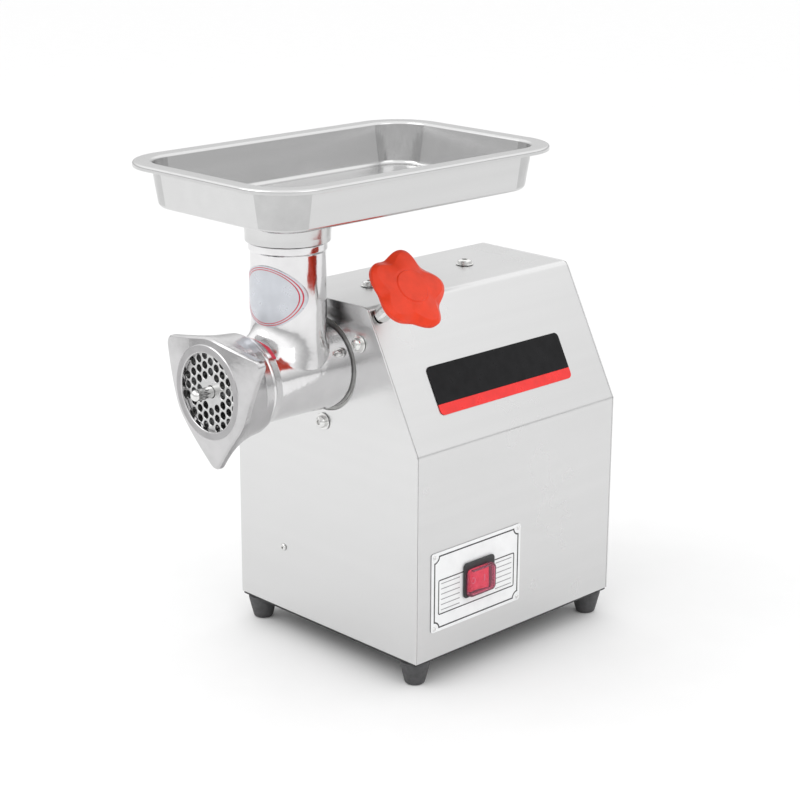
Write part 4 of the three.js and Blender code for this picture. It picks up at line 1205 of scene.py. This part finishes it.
def ring_nut():
    steps = 288
    bore, opening = 35.3, 28.7
    sections = []
    for i in range(steps):
        angle = 2 * pi * i / steps
        nearest = min(
            (atan2(sin(angle - radians(lug)), cos(angle - radians(lug))) for lug in LUG_ANGLES),
            key=abs,
        )
        reach = ring_nut_radius(nearest)
        lug = (reach - RING_RADIUS) / (LUG_REACH + LUG_TIP - RING_RADIUS)
        front = RING_FRONT + LUG_SWEEP * lug
        corners = [
            (opening, PLATE_FRONT - GAP),
            (opening, RING_FRONT),
            (34.2, RING_FRONT),
            (34.9, RING_FRONT + 0.6),
            (reach - 1.2, front + 1.8),
            (reach, front + 3.4),
            (reach, front + 7.6),
            (38.8 + (reach - RING_RADIUS) * 0.4, RING_FRONT + 17 + 3 * lug),
            (38.1, RING_FRONT + 24),
            (37.5, RING_BACK),
            (bore, RING_BACK),
            (bore, PLATE_FRONT - GAP),
        ]
        radii = [0.3, 0.9, 0.3, 0.4, 0.9, 0.9, 1.8, 4, 3, 0.8, 0.3, 0.3]
        section = filleted(corners, radii, 4)
        sections.append([Vector((r * cos(angle), y, AXIS_HEIGHT + r * sin(angle))) for r, y in section])
    made = piece(
        "ring_nut_body",
        joined(sections, wrap=True),
        "ring_aluminium",
        "ring",
        ["ring_nut"],
        sharp_above=50,
    )
    made.data.materials.append(MATERIALS["ring_face"])
    for polygon in made.data.polygons:
        point = (polygon.center - ORIGIN) / MM
        from_axis = hypot(point.x, point.z - AXIS_HEIGHT)
        if point.y < RING_FRONT + 0.3 and from_axis > opening + 0.8:
            polygon.material_index = 1


def plate_holes():
    """Middles of the holes: a hexagonal pattern between the pin and the plate's edge."""
    pitch_x, pitch_z = 6.41, 7.4
    nearest, farthest = 8, 26.8
    places = []
    for column in range(-4, 5):
        for row in range(-4, 5):
            x = column * pitch_x
            z = (row + (0.5 if column % 2 else 0)) * pitch_z
            if nearest <= hypot(x, z) <= farthest:
                places.append((x, z))
    return places


def hole_plate():
    hole_radius, pin_hole_radius = 2.9, 4.6
    holes = [circle(hole_radius, 24, x, z) for x, z in plate_holes()]
    holes.append(circle(pin_hole_radius, 40))
    back = -(PLATE_FRONT + PLATE_THICKNESS)
    disc = mesh_object(
        "perforated_plate",
        slab(circle(31, 128), back, -PLATE_FRONT, holes, 0.25),
        at(0, 0, AXIS_HEIGHT, FACING_FRONT),
    )
    notch = mesh_object(
        "notch", lathe(rod(2.2, PLATE_FRONT - 1, -101), 24), at(0, 0, AXIS_HEIGHT - 31.2, ALONG_Y)
    )
    boolean(disc, [notch], "DIFFERENCE")
    tidy_mesh(disc.data, 38)
    weight_normals(disc)
    disc.data.materials.clear()
    disc.data.materials.append(MATERIALS["plate_steel"])
    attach(disc, "plate")
    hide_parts("hole_plate")


def worm():
    """Shaft with one deep helical flight and a rounded pin at its front end."""
    flight_from, flight_to, core, tip, pitch = -92, -5, 11, 26.8, 30
    turns = (flight_to - flight_from) / pitch
    count = int(turns * 40)
    half_width = 26
    section_angles = [-half_width + half_width / 4 * i for i in range(9)]
    section = [(tip, angle) for angle in section_angles]
    flank_angles = [38, 52, 70, 100, 135, 180, 225, 260, 290, 308, 322]
    flank_radii = [16.5, 12.2, core, core, core, core, core, core, core, 12.2, 16.5]
    section += list(zip(flank_radii, flank_angles))
    rings = [raised([Vector((0, 0))] * len(section), -flight_to)]
    for i in range(count + 1):
        along = -flight_to + (flight_to - flight_from) * i / count
        turn = -2 * pi * turns * i / count
        rings.append([polar(r, radians(a) + turn).to_3d() + Vector((0, 0, along)) for r, a in section])
    rings.append(raised([Vector((0, 0))] * len(section), -flight_from))
    flight = moved(joined(rings), at(0, 0, AXIS_HEIGHT, FACING_FRONT))
    shaft = soft_lathe(
        [(0, PIN_TIP), (4.25, PIN_TIP), (4.25, -91), (10, -6), (10, 16.7), (0, 16.7)],
        [0, 3.6, 1, 0.5, 0.5, 0],
        48,
        8,
    )
    nose = slab(rounded_rectangle(9.6, 9.6, 0.4), 92, 101.8)
    tail = slab(rounded_rectangle(12, 12, 0.6), -31, -15.7)
    body = together(
        flight,
        moved(shaft, head_axis()),
        moved(nose, at(0, 0, AXIS_HEIGHT, FACING_FRONT)),
        moved(tail, at(0, 0, AXIS_HEIGHT, FACING_FRONT)),
    )
    piece("feed_worm", body, "zinc_steel", "worm", ["worm"])


def label_point(across, up, radius):
    """Point of the throat label; it is centred 12 degrees from the front towards +X."""
    angle = radians(12) + asin(max(-1, min(1, across / radius)))
    return Vector((radius * sin(angle), THROAT_Y - radius * cos(angle), 277.5 + up))


def throat_label():
    half_height, outside = 22.5, THROAT_RADIUS + 0.8
    half_width = sin(radians(66)) * outside
    steps = 96
    shares = [0, 0.2, 0.4, 0.6, 0.75, 0.86, 0.885, 0.925, 0.95, 0.985, 1]
    rings = []
    for share in shares:
        ring = []
        for i in range(steps):
            angle = 2 * pi * i / steps
            ring.append(
                label_point(half_width * share * cos(angle), half_height * share * sin(angle), outside)
            )
        rings.append(ring)
    back = []
    for share in reversed(shares):
        ring = []
        for i in range(steps):
            angle = 2 * pi * i / steps
            ring.append(
                label_point(
                    half_width * share * cos(angle), half_height * share * sin(angle), outside - 0.45
                )
            )
        back.append(ring)
    made = piece("oval_label", joined(rings + back), "foil", "head", ["throat_label"])
    made.data.materials.append(MATERIALS["print_red"])
    centre_angle = radians(12)
    for polygon in made.data.polygons:
        point = (polygon.center - ORIGIN) / MM
        from_axis = hypot(point.x, point.y - THROAT_Y)
        if from_axis < outside - 0.3:
            continue
        angle = atan2(point.x, THROAT_Y - point.y) - centre_angle
        share = hypot(sin(angle) * outside / half_width, (point.z - 277.5) / half_height)
        if 0.868 < share < 0.886 or 0.925 < share < 0.95:
            polygon.material_index = 1


def red_arc():
    """A strip of red film round the barrel just behind the ring nut."""
    steps = 24
    low, high = -71.2, -66.6
    profile = [(32.35, low), (32.55, low + 0.1), (32.4, high), (32.15, high)]
    sections = []
    for i in range(steps + 1):
        angle = radians(-4 + 52 * i / steps)
        sections.append([Vector((r * sin(angle), y, AXIS_HEIGHT + r * cos(angle))) for r, y in profile])
    points, faces = joined(sections)
    count = len(profile)
    faces.append(tuple(range(count)))
    faces.append(tuple(len(points) - count + i for i in range(count)))
    piece("arc_strip", (points, faces), "print_red", "head")


# ---------------------------------------------------------------- feed tray


def tray_outline(inset_by):
    middle = (TRAY_FRONT + TRAY_BACK) / 2
    width = 2 * (TRAY_HALF_WIDTH - inset_by)
    length = TRAY_BACK - TRAY_FRONT - 2 * inset_by
    return rounded_rectangle(width, length, TRAY_CORNER - inset_by, 0, middle, 20)


def tray_section():
    """(inset from the rim, height) from under the floor, round the rim, to the floor's top."""
    rim, sheet, lip = 12, 1, 3.5
    corners = [
        (30, TRAY_FLOOR),
        (18.2, TRAY_FLOOR),
        (rim + sheet, TRAY_TOP - sheet),
        (sheet, TRAY_TOP - sheet),
        (sheet, TRAY_TOP - lip),
        (0, TRAY_TOP - lip),
        (0, TRAY_TOP),
        (rim + 2, TRAY_TOP),
        (19.3, TRAY_FLOOR + sheet),
        (30, TRAY_FLOOR + sheet),
    ]
    radii = [0, 4.5, 1.2, 0.8, 0.2, 0.2, 1.6, 2.2, 3.5, 0]
    return filleted(corners, radii, 6)


def floor_patch(height, hole_radius, hole_steps):
    """The flat floor at one height, from the wall's foot to a circle round the throat."""
    outer = raised(tray_outline(30), height)
    hole = raised(circle(hole_radius, hole_steps, 0, THROAT_Y), height)
    points = outer + hole
    return points, [tuple(t) for t in tessellate_polygon([outer, hole])]


def feed_tray():
    hole, steps = 36.4, 96
    pan = joined([raised(tray_outline(by), height) for by, height in tray_section()])
    neck_corners = [
        (hole, TRAY_FLOOR + 1),
        (22.7, TRAY_FLOOR + 1),
        (22.7, 296),
        (23.7, 296),
        (23.7, 335.7),
        (30, 335.7),
        (30, 314.4),
        (31.2, 314.4),
        (31.2, 319),
        (32.3, 333),
        (hole, TRAY_FLOOR),
    ]
    radii = [0, 1.6, 0.3, 0.3, 0.3, 0.5, 0.4, 0.5, 4, 3, 0]
    neck = moved(soft_open_lathe(neck_corners, radii, steps), at(0, THROAT_Y, 0))
    body = together(
        pan,
        neck,
        floor_patch(TRAY_FLOOR, hole, steps),
        floor_patch(TRAY_FLOOR + 1, hole, steps),
    )
    made = piece("tray_pan", body, "stainless_tray", "tray", ["feed_tray"], sharp_above=45)
    # Second material for the corner walls: darker tone as painted reflection, with streak relief
    made.data.materials.append(MATERIALS["drawn_corner"])
    middle = (TRAY_FRONT + TRAY_BACK) / 2
    straight_x = TRAY_HALF_WIDTH - TRAY_CORNER
    straight_y = (TRAY_BACK - TRAY_FRONT) / 2 - TRAY_CORNER
    for polygon in made.data.polygons:
        point = (polygon.center - ORIGIN) / MM
        in_corner = abs(point.x) > straight_x and abs(point.y - middle) > straight_y
        on_wall = abs(polygon.normal.z) < 0.6 and TRAY_FLOOR + 3 < point.z < TRAY_TOP - 3
        if in_corner and on_wall:
            polygon.material_index = 1


def soft_open_lathe(corners, radii, steps):
    """A turned strip that starts and ends at edges which other faces share."""
    profile = filleted(corners, radii, 5)
    return joined([raised(circle(radius, steps), height) for radius, height in profile])


# ---------------------------------------------------------------- carried-over CAD pieces

CARRIED = {
    "zinc_steel": ["top_brace", "foot_screw", "plate_key_pin", "capacitor_clip"],
    "black_plastic": ["gland_nut"],
    "cast_aluminium": ["gearbox_housing", "gearbox_cover", "motor_end_bell", "motor_cradle"],
    "nitrile": ["oil_seal"],
    "gear_steel": [
        "output_shaft",
        "output_gear",
        "intermediate_shaft",
        "intermediate_gear",
        "motor_shaft",
        "knife",
    ],
    "bearing_steel": ["output_bearing", "intermediate_bearing", "motor_bearing"],
    "laminations": ["motor_rotor", "motor_stator"],
    "white_plastic": ["motor_fan", "capacitor"],
    "copper": ["motor_winding"],
}


def carried_material(name):
    matches = [
        (len(start), slot) for slot, starts in CARRIED.items() for start in starts if name.startswith(start)
    ]
    return MATERIALS[max(matches)[1]] if matches else None


def dress_carried():
    for name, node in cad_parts.items():
        if node.hide_render:
            continue
        material = carried_material(name)
        if material is None:
            raise ValueError(f"{name} has no material")
        node.data.materials.clear()
        node.data.materials.append(material)


# ---------------------------------------------------------------- build

add_camera()
add_studio()
front_panel()
rear_panel()
top_cover()
base_plate()
feet()
front_bolts()
top_screws()
brand_label()
rating_plate()
switch()
cable_gland()
clamp_screw()
clamp_knob()
head_barrel()
ring_nut()
hole_plate()
worm()
throat_label()
red_arc()
feed_tray()
dress_carried()
